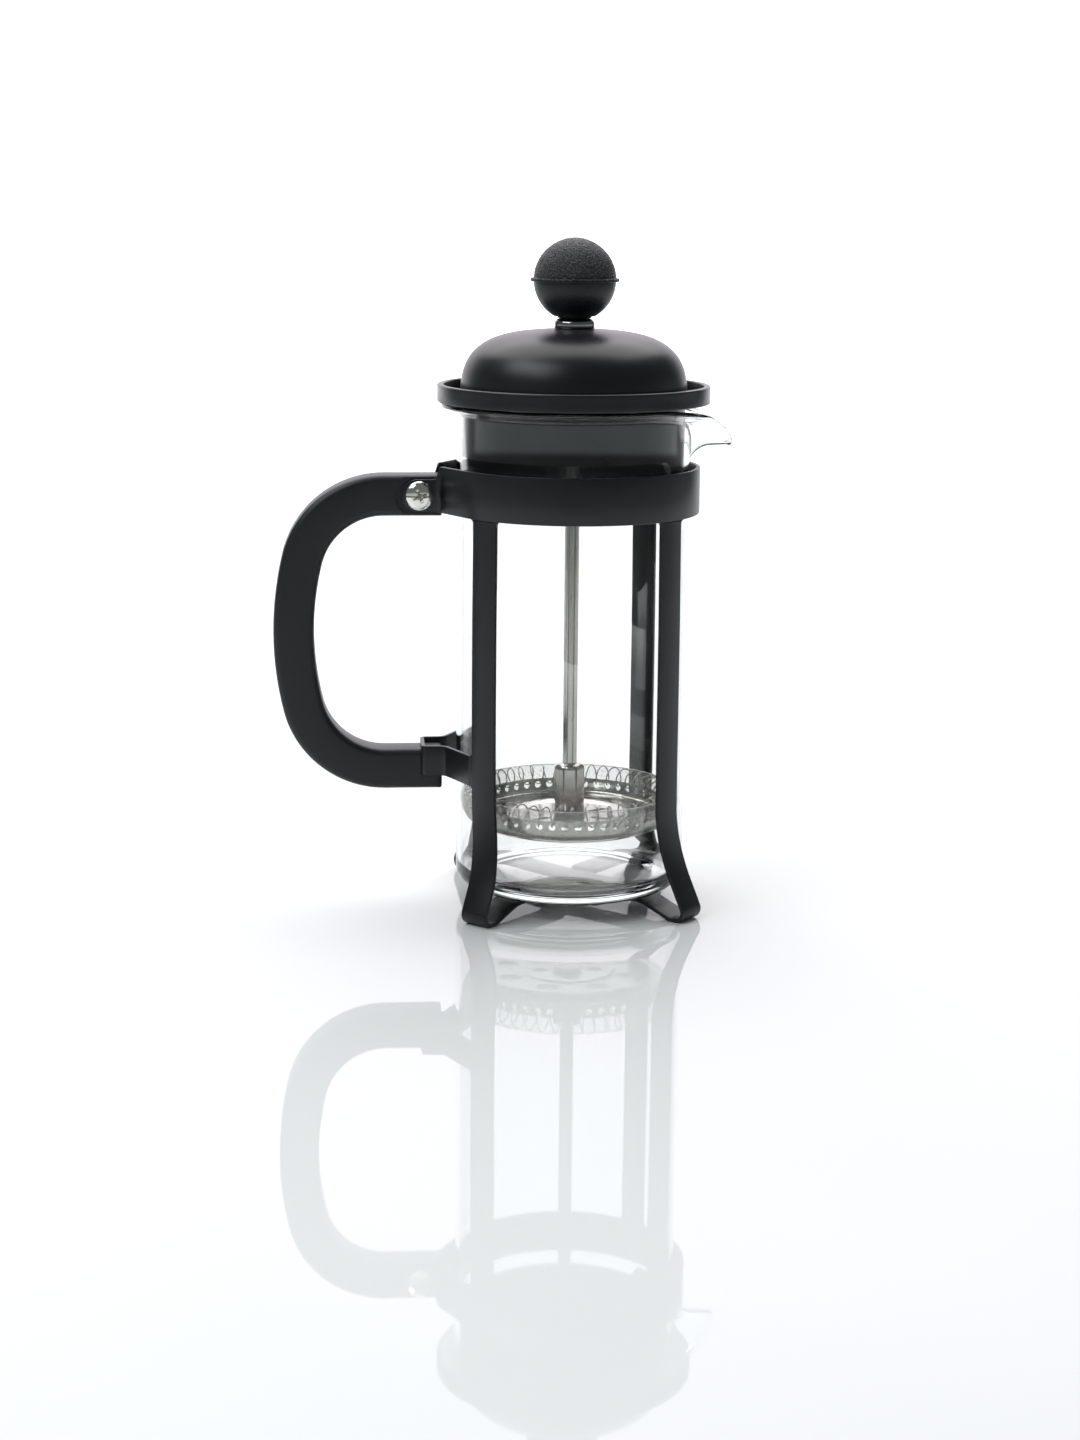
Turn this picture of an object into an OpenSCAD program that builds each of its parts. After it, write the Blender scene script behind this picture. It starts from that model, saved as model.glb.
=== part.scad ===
// French press: glass beaker in a strip-metal frame with a D handle, a screw-together
// lid and a plunger. Z is up, the beaker stands on the Z axis, the spout points to +X
// and the handle to -X. The feet stand on Z = 0. Millimetres.

/* [Beaker] */
// Outer radius of the glass cylinder
glass_r = 35; // [34.5:0.1:35.5]
// Wall thickness of the glass
glass_t = 1.2; // [1:0.1:1.6]
// Height of the underside of the glass above the table
glass_z0 = 5.15; // [5.15:0.05:5.6]
// Height of the rim of the glass
rim_z = 152.8; // [152:0.1:152.8]
// Outer radius of the flared rim
rim_r = 39.8; // [38.5:0.1:40.2]
// How far the spout reaches past the rim
spout_out = 8.3; // [5:0.1:10]
// How far the spout tip hangs below the rim
spout_drop = 10.2; // [6:0.1:10.5]
// Half of the angle the spout takes up, in degrees
spout_half = 27; // [22:1:32]

/* [Frame] */
// Outer radius of the collar band
band_r = 38.3; // [37.8:0.1:39]
// Thickness of all the strip metal
strip_t = 1.2; // [1:0.1:1.4]
// Underside of the collar band
band_z0 = 120.2; // [115:0.1:124]
// Top of the collar band
band_z1 = 134.0; // [130:0.1:134.2]
// Width of the legs
leg_w = 9.2; // [8:0.1:10]
// Height at which the legs start to flare outward
flare_z = 34; // [30:1:38]
// Underside of the bracket that holds the handle's lower end
bracket_z0 = 40; // [39.5:0.1:41]
// Height of the bracket strip
bracket_h = 9.2; // [8:0.1:9.4]

/* [Handle] */
// Distance from the beaker axis to the outside of the handle
handle_x = 90.3; // [86:0.1:92]
// Underside of the handle
handle_z0 = 35.6; // [35:0.1:36.5]
// Top of the handle
handle_z1 = 131.3; // [130:0.1:132]
// Section of the handle across its bend
handle_w = 12.2; // [11:0.1:12.6]
// Thickness of the handle
handle_t = 12; // [11:0.1:12]
// Outer radius of the handle's corners
handle_corner = 31.5; // [28:0.5:34]
// Height of the screw that clamps the upper end
screw_z = 125.4; // [125:0.1:125.8]
// Distance of that screw from the beaker axis
screw_x = 46.4; // [45.5:0.1:47]

/* [Lid] */
// Outer radius of the lid's flange
flange_r = 40.9; // [40:0.1:42]
// Height of the rim around the flange
flange_h = 5.2; // [4:0.1:6]
// Outer radius of the skirt inside the glass
skirt_r = 33.45; // [33:0.05:33.5]
// Underside of the skirt
skirt_z = 137; // [135:0.1:140]
// Radius of the dome at its base
dome_r = 34; // [33:0.1:35]
// Height of the top of the dome
dome_top = 174.5; // [172:0.1:175]
// Number of pour slots in the skirt
slots = 7; // [3:2:9]

/* [Plunger] */
// Radius of the plunger rod
rod_r = 2.15; // [1.9:0.05:2.3]
// Radius of the ball knob
knob_r = 12.3; // [11:0.1:13]
// Height of the knob's parting line
knob_z = 188.9; // [188.5:0.1:190]
// Outer radius of the mesh screen
mesh_r = 33.45; // [33.4:0.01:33.5]
// Number of holes and spring turns around the filter
turns = 48; // [36:1:48]
// Wire radius of the edge spring
wire_r = 0.22; // [0.18:0.01:0.24]

/* [Hidden] */
$fn = 96;
eps = 0.01;
flange_z = rim_z + 0.1;                  // underside of the flange
plate_t = 1.9;                           // thickness of the flange and its plate
ferrule_z1 = 177.6;                      // top of the ferrule, where the knob rests
hub_z0 = 25.85;                          // underside of the rod end sleeve
hub_z1 = 42.3;                           // top of the rod end sleeve
rod_z0 = 34.6;                           // lower end of the rod
tab_r = 4.8;                             // half height of the collar's tabs
recess = 0.7;                            // depth of the tab recesses in the handle
tab_y = handle_t / 2 - recess + 0.03;    // inner face of a tab
corner_x = 40.3;                         // where the band turns into its tabs
top_z = strip_t + 3.9;                   // top of the strap crossing, under the glass

// ---------- helpers ----------
// A strip of thickness t along the path p (p is its right-hand face, t goes left).
function unit2(v) = v / norm(v);
function seg_n(p, i) = let(d = unit2(p[i + 1] - p[i])) [-d[1], d[0]];
function mitre(p, i, t) = let(n = len(p),
    a = i == 0 ? seg_n(p, 0) : seg_n(p, i - 1),
    b = i == n - 1 ? seg_n(p, n - 2) : seg_n(p, i),
    m = a + b) p[i] + m * (2 * t / (m * m));
function strip(p, t) = concat(p, [for (i = [len(p) - 1:-1:0]) mitre(p, i, t)]);
function arc2(c, r, a0, a1, n) = [for (i = [0:n]) let(a = a0 + (a1 - a0) * i / n) [c[0] + r * cos(a), c[1] + r * sin(a)]];
module upright() { rotate([90, 0, 0]) children(); }   // draws an XY profile in the XZ plane

// ---------- frame ----------
// Plan of the collar: a ring that runs off in two tangents to the corners beside the handle,
// then back along the handle's sides as two tabs.
corner_d = norm([corner_x, tab_y + strip_t]);
tangent_a = 180 - atan2(tab_y + strip_t, corner_x) - acos(band_r / corner_d);
function band_plan() = concat(
    [[-screw_x - 5.6, -tab_y - strip_t], [-corner_x, -tab_y - strip_t]],
    arc2([0, 0], band_r, -tangent_a, tangent_a, 144),
    [[-corner_x, tab_y + strip_t], [-screw_x - 5.6, tab_y + strip_t]]);
module collar() color("#202124") difference() {
    translate([0, 0, band_z0]) linear_extrude(band_z1 - band_z0) polygon(strip(band_plan(), strip_t));
    // the tabs are lower than the band and round at their ends
    upright() translate([0, 0, -20]) linear_extrude(40) difference() {
        translate([-screw_x - 20, band_z0 - 5]) square([screw_x + 20 - corner_x - 0.4, 30]);
        translate([-screw_x - 0.6, screw_z]) circle(r = tab_r);
        translate([-screw_x - 0.6, screw_z - tab_r]) square([30, 2 * tab_r]);
    }
    translate([-screw_x, 0, screw_z]) rotate([90, 0, 0]) cylinder(r = 2.1, h = 40, center = true);
}
// Side view of half a leg strap: [distance from the axis, height], from the centre outward,
// through the toe and up to the collar. The path is the strip's lower and outer face.
flare_r = 52;
toe_a = 26;                               // lean of the leg where it meets the toe
toe_r = 3.2;                              // outer radius of the toe
flare_end = [band_r + flare_r * (1 - cos(toe_a)), flare_z - flare_r * sin(toe_a)];
toe_top_z = toe_r * (1 + sin(toe_a));
toe_c = [flare_end[0] + (flare_end[1] - toe_top_z) * tan(toe_a) - toe_r * cos(toe_a), toe_r];
rise_a = 20;                              // slope of the strap from the toe in under the glass
pad = 1.6;                                // flat of the toe that stands on the table
rise_x = toe_c[0] - pad - toe_r * sin(rise_a);
rise_z = toe_r * (1 - cos(rise_a));
function leg_path(drop) = concat(
    drop > 0 ? [[4.5, 3.9 - drop], [6.4, 3.9 - drop], [9.2, 3.9]] : [[4.5, 3.9]],
    [[rise_x - (3.9 - rise_z) / tan(rise_a), 3.9], [rise_x, rise_z]],
    [for (k = [0:2]) let(a = -90 - rise_a + rise_a * (k + 1) / 3) [toe_c[0] - pad + toe_r * cos(a), toe_c[1] + toe_r * sin(a)]],
    [for (k = [0:8]) let(a = -90 + (90 + toe_a) * k / 8) [toe_c[0] + toe_r * cos(a), toe_c[1] + toe_r * sin(a)]],
    [for (i = [0:8]) let(a = toe_a * (1 - i / 8)) [band_r + flare_r * (1 - cos(a)), flare_z - flare_r * sin(a)]],
    [[band_r, band_z0]]);
// Where the four legs stand round the axis: front left, back right, front right, back left.
leg_fl = 222.6; leg_br = 45.8; leg_fr = -45; leg_bl = 129.5;
module leg_strap(a1, a2, drop) {
    for (a = [a1, a2]) rotate([0, 0, a])
        upright() linear_extrude(leg_w, center = true) polygon(strip(leg_path(drop), strip_t));
    // flat middle, bent a little in plan so that each half runs to its leg
    h = leg_w / 2 - eps; b = (a1 + a2) / 2; m = h / cos((a1 - a2 - 180) / 2) * [cos(b), sin(b)];
    translate([0, 0, 3.9 - drop + eps]) linear_extrude(strip_t - 2 * eps)
        polygon([leg_pt(a2, 6, -h), leg_pt(a2, 6, h), m, leg_pt(a1, 6, -h), leg_pt(a1, 6, h), -m]);
}
module rivet_hole() translate([0, 0, -1]) cylinder(r = 1.82, h = 12);
module leg_strap_lower() color("#202124") difference() { leg_strap(leg_fl, leg_br, strip_t); rivet_hole(); }
module leg_strap_upper() color("#202124") difference() { leg_strap(leg_bl, leg_fr, 0); rivet_hole(); }
module strap_rivet() color("#2a2b2e") rotate_extrude()
    polygon([[0, 1.5], [2.2, 1.5], [3.2, 2.0], [3.2, 2.69], [1.8, 2.69], [1.8, top_z], [0, top_z]]);

// Plan of the bracket: from one handle-side leg around the handle's end to the other.
b_y = handle_t / 2 + 0.05 + strip_t;
function leg_pt(a, r, s) = [r * cos(a) - s * sin(a), r * sin(a) + s * cos(a)];
b_bend = concat([[-38.6, b_y + 0.7], [-39.3, b_y]], [for (a = [90:18:180]) [-44.4 + 1.5 * cos(a), b_y - 1.5 + 1.5 * sin(a)]]);
leg_side = leg_w / 2 + 0.03;
function bracket_plan() = concat([leg_pt(leg_bl, band_r, leg_side)], b_bend,
    [for (i = [len(b_bend) - 1:-1:0]) [b_bend[i][0], -b_bend[i][1]]], [leg_pt(leg_fl, band_r, -leg_side)]);
module handle_bracket() color("#202124") translate([0, 0, bracket_z0]) linear_extrude(bracket_h) {
    p = bracket_plan();
    polygon(concat(p, [leg_pt(leg_fl, band_r - strip_t, -leg_side)], [for (i = [len(p) - 2:-1:1]) mitre(p, i, strip_t)],
        [leg_pt(leg_bl, band_r - strip_t, leg_side)]));
}

// ---------- handle ----------
// Tangent arcs: two corner arcs joined by one long, slightly bowed grip.
bow_r = 100;
handle_zc = (handle_z0 + handle_z1) / 2;
c_z = handle_z1 - handle_corner;                         // centre of the upper corner
c_x = -handle_x + bow_r - sqrt(pow(bow_r - handle_corner, 2) - pow(c_z - handle_zc, 2));
bow_a = asin((c_z - handle_zc) / (bow_r - handle_corner));
handle_end = -39.6;
edge_r = 1.8;                                            // rounding of the handle's edges
// Middle line of the handle as [x, z, direction], from the upper end round to the lower end.
m_r = handle_corner - handle_w / 2;
m_bow = bow_r - handle_w / 2;
function handle_line() = concat(
    [for (t = [0:0.25:1]) [handle_end + (c_x - handle_end) * t, c_z + m_r, 90]],
    [for (i = [1:14]) let(a = 90 + (90 - bow_a) * i / 14) [c_x + m_r * cos(a), c_z + m_r * sin(a), a]],
    [for (i = [1:10]) let(a = 180 - bow_a + 2 * bow_a * i / 10) [bow_r - handle_x + m_bow * cos(a), handle_zc + m_bow * sin(a), a]],
    [for (i = [1:14]) let(a = 180 + bow_a + (90 - bow_a) * i / 14) [c_x + m_r * cos(a), 2 * handle_zc - c_z + m_r * sin(a), a]],
    [for (t = [0.25:0.25:1]) [c_x + (handle_end - c_x) * t, 2 * handle_zc - c_z - m_r, 270]]);
// Rounded rectangle, [across the bend, along Y].
function section_pts() = [for (q = [[1, 1, 0], [-1, 1, 90], [-1, -1, 180], [1, -1, 270]], k = [0:3])
    let(a = q[2] + 30 * k) [q[0] * (handle_w / 2 - edge_r) + edge_r * cos(a), q[1] * (handle_t / 2 - edge_r) + edge_r * sin(a)]];
module handle_body() {
    line = handle_line(); sec = section_pts(); n = len(line); m = len(sec);
    pts = [for (q = line, e = sec) [q[0] + e[0] * cos(q[2]), e[1], q[1] + e[0] * sin(q[2])]];
    polyhedron(pts, concat([[for (k = [m - 1:-1:0]) k]], [[for (k = [0:m - 1]) (n - 1) * m + k]],
        [for (i = [0:n - 2], k = [0:m - 1]) let(l = (k + 1) % m) [i * m + k, i * m + l, (i + 1) * m + l, (i + 1) * m + k]]));
}
module handle() color("#1b1c1e") difference() {
    handle_body();
    // recesses for the collar's tabs
    for (s = [-1, 1]) translate([0, s * (handle_t / 2 - recess + 5), screw_z]) rotate([90, 0, 0])
        linear_extrude(10, center = true) {
            translate([-screw_x - 0.6, 0]) circle(r = 6.8);
            translate([-screw_x - 0.6, -9]) square([20, 18]);
        }
    translate([-screw_x, 0, screw_z]) rotate([90, 0, 0]) cylinder(r = 2.1, h = 40, center = true);
    // slot for the bracket, open at the top
    translate([-45.95, -10, bracket_z0 - 0.05]) square_slot();
}
module square_slot() cube([1.45, 20, 20]);
// Pan-head screw through the tabs and the handle, and its nut on the far side.
head_y = tab_y + strip_t + 0.02;
module handle_screw() color("#c9c8c4") translate([-screw_x, 0, screw_z]) rotate([90, 0, 0]) difference() {
    union() {
        rotate_extrude() intersection() {
            translate([0, head_y]) square([4.35, 2.3]);
            translate([0, head_y + 2.3 - 5.9]) circle(r = 5.9);
        }
        translate([0, 0, -head_y - 2.6]) cylinder(r = 2, h = 2 * head_y + 2.8);
    }
    for (a = [20, 110]) rotate([0, 0, a]) translate([0, 0, head_y + 2.3]) cube([4.6, 0.9, 2.8], center = true);
}
module handle_nut() color("#b9b9b6") translate([-screw_x, head_y, screw_z]) rotate([-90, 0, 0]) difference() {
    cylinder(r = 4.04, h = 2.4, $fn = 6);
    translate([0, 0, -1]) cylinder(r = 2.02, h = 6);
}

// ---------- beaker ----------
// The glass is one sheet: a profile from the base centre up the outside, over the rim
// and down the inside, turned round the axis, with the rim drawn out and down at the spout.
n_around = 96;
function bump(a) = abs(a) >= spout_half ? 0 : pow(0.5 + 0.5 * cos(180 * a / spout_half), 1.15);
function tip_x(a) = (rim_r + spout_out * bump(a)) * cos(a);
base_x = rim_r * cos(spout_half);
function rim_drop(a) = abs(a) >= spout_half ? 0 :
    let(u = (tip_x(a) - base_x) / (rim_r + spout_out - base_x)) spout_drop * (1 - sqrt(max(0, 1 - u * u)));
bead = 0.85;
// Middle line of the wall near the top, at angle a: a fillet from the upright wall to the lip, then the lip.
function wall_mid(a) =
    let(rm = rim_r + spout_out * bump(a) - bead, zm = rim_z - bead - rim_drop(a),
        w = glass_r - glass_t / 2, f = 1.4 + 6.1 * bump(a),
        // slope of the straight part of the lip, flatter at the spout
        g = 24 - 22 * bump(a),
        c = [w + f, zm - (rm - w - f * (1 - sin(90 - (90 - g)))) * tan(g) - f * cos(90 - (90 - g))],
        start = [w, c[1]])
    concat([start], [for (k = [1:4]) let(b = 180 - (90 - g) * k / 4) [c[0] + f * cos(b), c[1] + f * sin(b)]], [[rm, zm]]);
function loop_at(a) =
    let(m = wall_mid(a), n = len(m), h = glass_t / 2,
        nv = [for (i = [0:n - 1]) let(d = unit2(m[min(i + 1, n - 1)] - m[max(i - 1, 0)])) [d[1], -d[0]]])
    concat(
        [[0.001, glass_z0 + 1.1], [22, glass_z0 + 0.5], [28.4, glass_z0]],
        [for (k = [0:4]) let(b = -75 + 75 * k / 4) [glass_r - 5 + 5 * cos(b), glass_z0 + 5 + 5 * sin(b)]],
        [[glass_r, 80]],
        [for (i = [0:n - 2]) m[i] + nv[i] * h],
        [for (k = [0:5]) let(b = -70 + 180 * k / 5) [m[n - 1][0] + bead * cos(b), m[n - 1][1] + bead * sin(b)]],
        [for (i = [n - 2:-1:0]) m[i] - nv[i] * h],
        [[glass_r - glass_t, 80]],
        [for (k = [0:4]) let(b = 0 - 80 * k / 4) [glass_r - glass_t - 4 + 4 * cos(b), glass_z0 + 6.2 + 4 * sin(b)]],
        [[22, glass_z0 + 2.5], [0.001, glass_z0 + 3.1]]);
module beaker() color("#dfe9ea", 0.35) {
    loops = [for (k = [0:n_around - 1]) let(a = 360 * k / n_around - 180) [for (q = loop_at(a)) [q[0] * cos(a), q[0] * sin(a), q[1]]]];
    m = len(loops[0]);
    pts = concat([for (l = loops) for (i = [1:m - 2]) l[i]], [[0, 0, glass_z0 + 1.1], [0, 0, glass_z0 + 3.1]]);
    w = m - 2; lo = n_around * w; hi = lo + 1;
    polyhedron(pts, concat(
        [for (k = [0:n_around - 1], i = [0:w - 2]) let(k2 = (k + 1) % n_around) [k * w + i, k * w + i + 1, k2 * w + i + 1, k2 * w + i]],
        [for (k = [0:n_around - 1]) let(k2 = (k + 1) % n_around) [lo, k * w, k2 * w]],
        [for (k = [0:n_around - 1]) let(k2 = (k + 1) % n_around) [hi, k2 * w + w - 1, k * w + w - 1]]));
}

// ---------- lid ----------
dome_z0 = flange_z + plate_t + 0.02;
module dome_profile(o) {
    // outline of the dome, o inside its outer face: an upright foot, a rounded shoulder, a nearly flat top
    polygon(concat([[0, dome_z0], [dome_r - o, dome_z0], [dome_r - o, 157.5]],
        [for (k = [0:14]) let(a = 90 * k / 14, r = pow(cos(a), 0.62), z = pow(sin(a), 0.86))
            [(dome_r - o) * r, 157.5 + (dome_top - o - 157.5) * z]]));
}
module lid_dome() color("#1d1e20") difference() {
    rotate_extrude() difference() { dome_profile(0); dome_profile(1.2); }
    cylinder(r = 3.75, h = 400);
}
tongue_h = 4.4;                          // extra depth of the skirt on the spout side
module lid_insert() color("#17181a") difference() {
    rotate_extrude() {
        translate([3.7, flange_z]) square([flange_r - 3.7, plate_t]);
        translate([39, flange_z]) square([flange_r - 39, flange_h]);
        translate([dome_r - 3.2, flange_z]) square([1.9, 6]);
        translate([skirt_r - 1.9, skirt_z - tongue_h]) square([1.9, flange_z - skirt_z + tongue_h + 0.5]);
        translate([3.7, flange_z - 0.8]) square([4, 1.2]);
    }
    // away from the spout the skirt is shallower
    rotate([0, 0, 35]) rotate_extrude(angle = 290)
        translate([skirt_r - 4, skirt_z - tongue_h - 2]) square([8, tongue_h + 2]);
    // pour slots, over the spout
    for (k = [0:slots - 1]) rotate([0, 0, (k - (slots - 1) / 2) * 5.6])
        translate([skirt_r, 0, flange_z - 6.4]) cube([8, 1.5, 7.2], center = true);
}
module lid_ferrule() color("#d7d7d6") rotate_extrude() {
    r0 = rod_r + 0.07; z0 = dome_top + 0.02;
    polygon(concat([[r0, 147], [3.65, 147], [3.65, z0], [5.7, z0], [6.1, z0 + 0.4], [6.1, ferrule_z1 - 1.5]],
        [for (k = [1:5]) let(a = 18 * k) [4.7 + 1.4 * cos(a), ferrule_z1 - 1.5 + 1.5 * sin(a)]], [[r0, ferrule_z1]]));
}
module lid_lock_nut() color("#b9b9b6") translate([0, 0, 147.6]) difference() {
    cylinder(r = 6.4, h = flange_z - 0.82 - 147.6, $fn = 6);
    translate([0, 0, -1]) cylinder(r = 3.66, h = 12);
}

// ---------- plunger ----------
ridge_r = knob_r + 0.95;
neck_r = 5.1;
module ball(r) intersection() { translate([0, knob_z]) circle(r = r); translate([0, 0]) square([60, 400]); }
module knob_upper_half() color("#1a1b1d") rotate_extrude() {
    difference() {
        union() {
            intersection() { ball(knob_r); translate([0, knob_z + 0.02]) square([40, 40]); }
            translate([0, knob_z + 0.02]) square([ridge_r, 0.48]);
        }
        intersection() { ball(knob_r - 2.4); translate([0, knob_z - 1]) square([40, 40]); }
    }
    translate([knob_r - 4.4, knob_z - 3]) square([1.9, 4.6]);
}
module knob_lower_half() color("#1e1f21") rotate_extrude() difference() {
    union() {
        intersection() { ball(knob_r); translate([0, ferrule_z1 + 0.6]) square([40, knob_z - ferrule_z1 - 0.6]); }
        translate([0, knob_z - 0.48]) square([ridge_r, 0.48]);
        translate([0, ferrule_z1 + 0.05]) square([neck_r, 6]);
    }
    translate([0, knob_z - 4.5]) square([knob_r - 2.4, 20]);
    translate([0, ferrule_z1 + 2]) square([3.4, 20]);
    square([rod_r + 0.15, 400]);
}
module knob_thread_insert() color("#b89a55") rotate_extrude() {
    translate([rod_r + 0.02, ferrule_z1 + 2.02]) square([3.36 - rod_r, 8]);
    translate([rod_r + 0.02, knob_z - 4.48]) square([5.38 - rod_r, 1.6]);
}
module plunger_rod() color("#b4b4b2") rotate_extrude()
    polygon([[0, rod_z0], [rod_r - 0.4, rod_z0], [rod_r, rod_z0 + 0.6], [rod_r, knob_z - 2], [rod_r - 0.4, knob_z - 1.6], [0, knob_z - 1.6]]);
module rod_end_sleeve() color("#a9a9a7") rotate_extrude() difference() {
    union() {
        translate([0, hub_z0]) square([4.6, hub_z1 - hub_z0 - 1.6]);
        translate([0, hub_z1 - 1.6 - eps]) square([3, 1.6 + eps]);
        translate([3, hub_z1 - 1.6]) circle(r = 1.6, $fn = 48);
    }
    square([rod_r + 0.02, 400]);
    square([2.62, rod_z0 - 0.6]);
}
pan_z = 25.15;                           // underside of the spring plate
rim_top = 30.7;                          // top of its rim
hole_z = 28.7;                           // height of the holes in the rim
module spring_plate() color("#a5a5a1") difference() {
    rotate_extrude() {
        translate([2.7, pan_z]) square([27.1, 0.6]);
        translate([29.2, pan_z]) square([0.6, rim_top - pan_z]);
        translate([17, pan_z]) square([3, 1.3]);
    }
    for (k = [0:turns - 1]) rotate([0, 0, 360 * k / turns]) translate([26, 0, hole_z]) rotate([0, 90, 0]) cylinder(r = 1.05, h = 8, $fn = 24);
    for (k = [0:5]) rotate([0, 0, 60 * k + 30]) translate([10.5, 0, pan_z]) cube([7, 2.4, 6], center = true);
}
// The coil spring that runs round the edge, through the holes and over the rim.
coil_r = 29.75; coil_z = 31.9; coil_t = 3; per = 10; sides = 4;
function coil_mid(i, n) = let(a = 360 * i / n, b = 360 * turns * i / n - 90)
    [(coil_r + coil_t * cos(b)) * cos(a), (coil_r + coil_t * cos(b)) * sin(a), coil_z + coil_t * sin(b)];
module edge_spring() color("#b9b9b4") {
    n = turns * per;
    pts = [for (i = [0:n - 1]) let(p = coil_mid(i, n), d = unit2(coil_mid(i + 1, n) - coil_mid(i - 1, n)),
            c = [coil_r * cos(360 * i / n), coil_r * sin(360 * i / n), coil_z],
            u0 = p - c, u = unit2(u0 - d * (u0 * d)), v = cross(d, u))
        for (k = [0:sides - 1]) p + wire_r * (u * cos(360 * k / sides) + v * sin(360 * k / sides))];
    polyhedron(pts, [for (i = [0:n - 1], k = [0:sides - 1], t = [0, 1]) let(j = (i + 1) % n, l = (k + 1) % sides)
        t == 0 ? [i * sides + k, i * sides + l, j * sides + l] : [i * sides + k, j * sides + l, j * sides + k]]);
}
// Outer side of the screen from the disc up to its free edge, [radius, height].
function screen_side() = [[29.75, 24.86], [30.7, 25.25], [31.9, 26.6], [32.8, 28.6], [mesh_r, 31.2], [mesh_r, 32.6], [32.9, 34.4]];
module mesh_screen() color("#9c9c97") rotate_extrude() {
    side = screen_side();
    polygon(concat([[2.7, 24.86]], side, [for (i = [len(side) - 1:-1:0]) side[i] + [-0.22, i == 0 ? 0.24 : 0.1]], [[2.7, 25.1]]));
}
module cross_plate() color("#c4c4c1") difference() {
    rotate_extrude() {
        translate([2.65, 24.1]) square([24.35, 0.72]);
        translate([26.3, 23.5]) square([0.7, 1.32]);
    }
    for (k = [0:7]) rotate([0, 0, 45 * k + 22.5]) translate([18.5, 0, 20]) cylinder(r = 3.6, h = 10);
    for (k = [0:3]) rotate([0, 0, 90 * k]) translate([9, 0, 20]) cylinder(r = 2.2, h = 10);
}
module cross_plate_stud() color("#a9a9a7") rotate_extrude() {
    translate([0, 23.0]) square([4.4, 1.08]);
    translate([0, 23.0]) square([2.6, 10.5]);
}

collar();
leg_strap_lower();
leg_strap_upper();
strap_rivet();
handle_bracket();
handle();
handle_screw();
handle_nut();
beaker();
lid_dome();
lid_insert();
lid_ferrule();
lid_lock_nut();
knob_upper_half();
knob_lower_half();
knob_thread_insert();
plunger_rod();
rod_end_sleeve();
spring_plate();
edge_spring();
mesh_screen();
cross_plate();
cross_plate_stud();
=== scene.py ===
"""French press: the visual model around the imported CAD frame."""
import math

import bmesh
import bpy
import numpy as np
from mathutils import Matrix, Vector

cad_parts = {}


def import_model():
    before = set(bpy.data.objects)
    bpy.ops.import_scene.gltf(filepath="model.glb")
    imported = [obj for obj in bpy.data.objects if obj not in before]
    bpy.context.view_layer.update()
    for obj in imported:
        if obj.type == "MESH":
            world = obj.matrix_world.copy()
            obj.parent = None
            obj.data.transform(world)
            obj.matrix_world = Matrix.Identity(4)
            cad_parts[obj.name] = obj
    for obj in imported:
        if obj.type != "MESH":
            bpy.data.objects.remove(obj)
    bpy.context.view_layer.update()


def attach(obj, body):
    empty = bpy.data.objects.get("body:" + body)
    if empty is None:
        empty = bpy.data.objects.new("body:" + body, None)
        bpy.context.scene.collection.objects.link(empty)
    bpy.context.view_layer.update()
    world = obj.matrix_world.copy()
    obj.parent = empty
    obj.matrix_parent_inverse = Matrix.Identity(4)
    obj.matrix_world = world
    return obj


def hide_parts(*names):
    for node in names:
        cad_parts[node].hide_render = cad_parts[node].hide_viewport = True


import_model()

MM = 0.001
PI = math.pi


# --------------------------------------------------------------------------- mesh helpers
def finish_mesh(name, verts, faces, body, nodes=(), mat=None, sharp=32.0, mats=None, face_mats=None):
    """A piece from millimetre points; it rides on a body and stands for CAD nodes."""
    me = bpy.data.meshes.new(name)
    me.from_pydata([(v[0] * MM, v[1] * MM, v[2] * MM) for v in verts], [], [tuple(int(i) for i in f) for f in faces])
    bm = bmesh.new()
    bm.from_mesh(me)
    bmesh.ops.remove_doubles(bm, verts=bm.verts, dist=1e-7)
    bmesh.ops.recalc_face_normals(bm, faces=bm.faces)
    bm.to_mesh(me)
    bm.free()
    me.shade_smooth()
    if sharp is not None:
        me.set_sharp_from_angle(angle=math.radians(sharp))
    ob = bpy.data.objects.new(name, me)
    bpy.context.scene.collection.objects.link(ob)
    for m in mats or [mat]:
        if m is not None:
            me.materials.append(m)
    if body:
        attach(ob, body)
    if nodes:
        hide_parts(*nodes)
    return ob


def fillet(pts, radii, steps=4, closed=True):
    """Rounds the corners of a 2D outline; radii is one number or one per point."""
    n = len(pts)
    if not hasattr(radii, "__len__"):
        radii = [radii] * n
    out = []
    for i in range(n):
        p = np.array(pts[i], float)
        r = radii[i]
        if r <= 0 or (not closed and i in (0, n - 1)):
            out.append(tuple(p))
            continue
        a, b = np.array(pts[i - 1], float), np.array(pts[(i + 1) % n], float)
        u, v = (a - p), (b - p)
        lu, lv = np.linalg.norm(u), np.linalg.norm(v)
        u, v = u / lu, v / lv
        ang = math.acos(max(-1, min(1, float(u @ v))))
        if ang > PI - 0.03:
            out.append(tuple(p))
            continue
        d = min(r / math.tan(ang / 2), 0.48 * lu, 0.48 * lv)
        rr = d * math.tan(ang / 2)
        c = p + (u + v) / np.linalg.norm(u + v) * (rr / math.sin(ang / 2))
        s, e = p + u * d, p + v * d
        a0 = math.atan2(*(s - c)[::-1])
        a1 = math.atan2(*(e - c)[::-1])
        da = (a1 - a0 + PI) % (2 * PI) - PI
        for k in range(steps + 1):
            t = a0 + da * k / steps
            out.append((c[0] + rr * math.cos(t), c[1] + rr * math.sin(t)))
    return out


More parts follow.
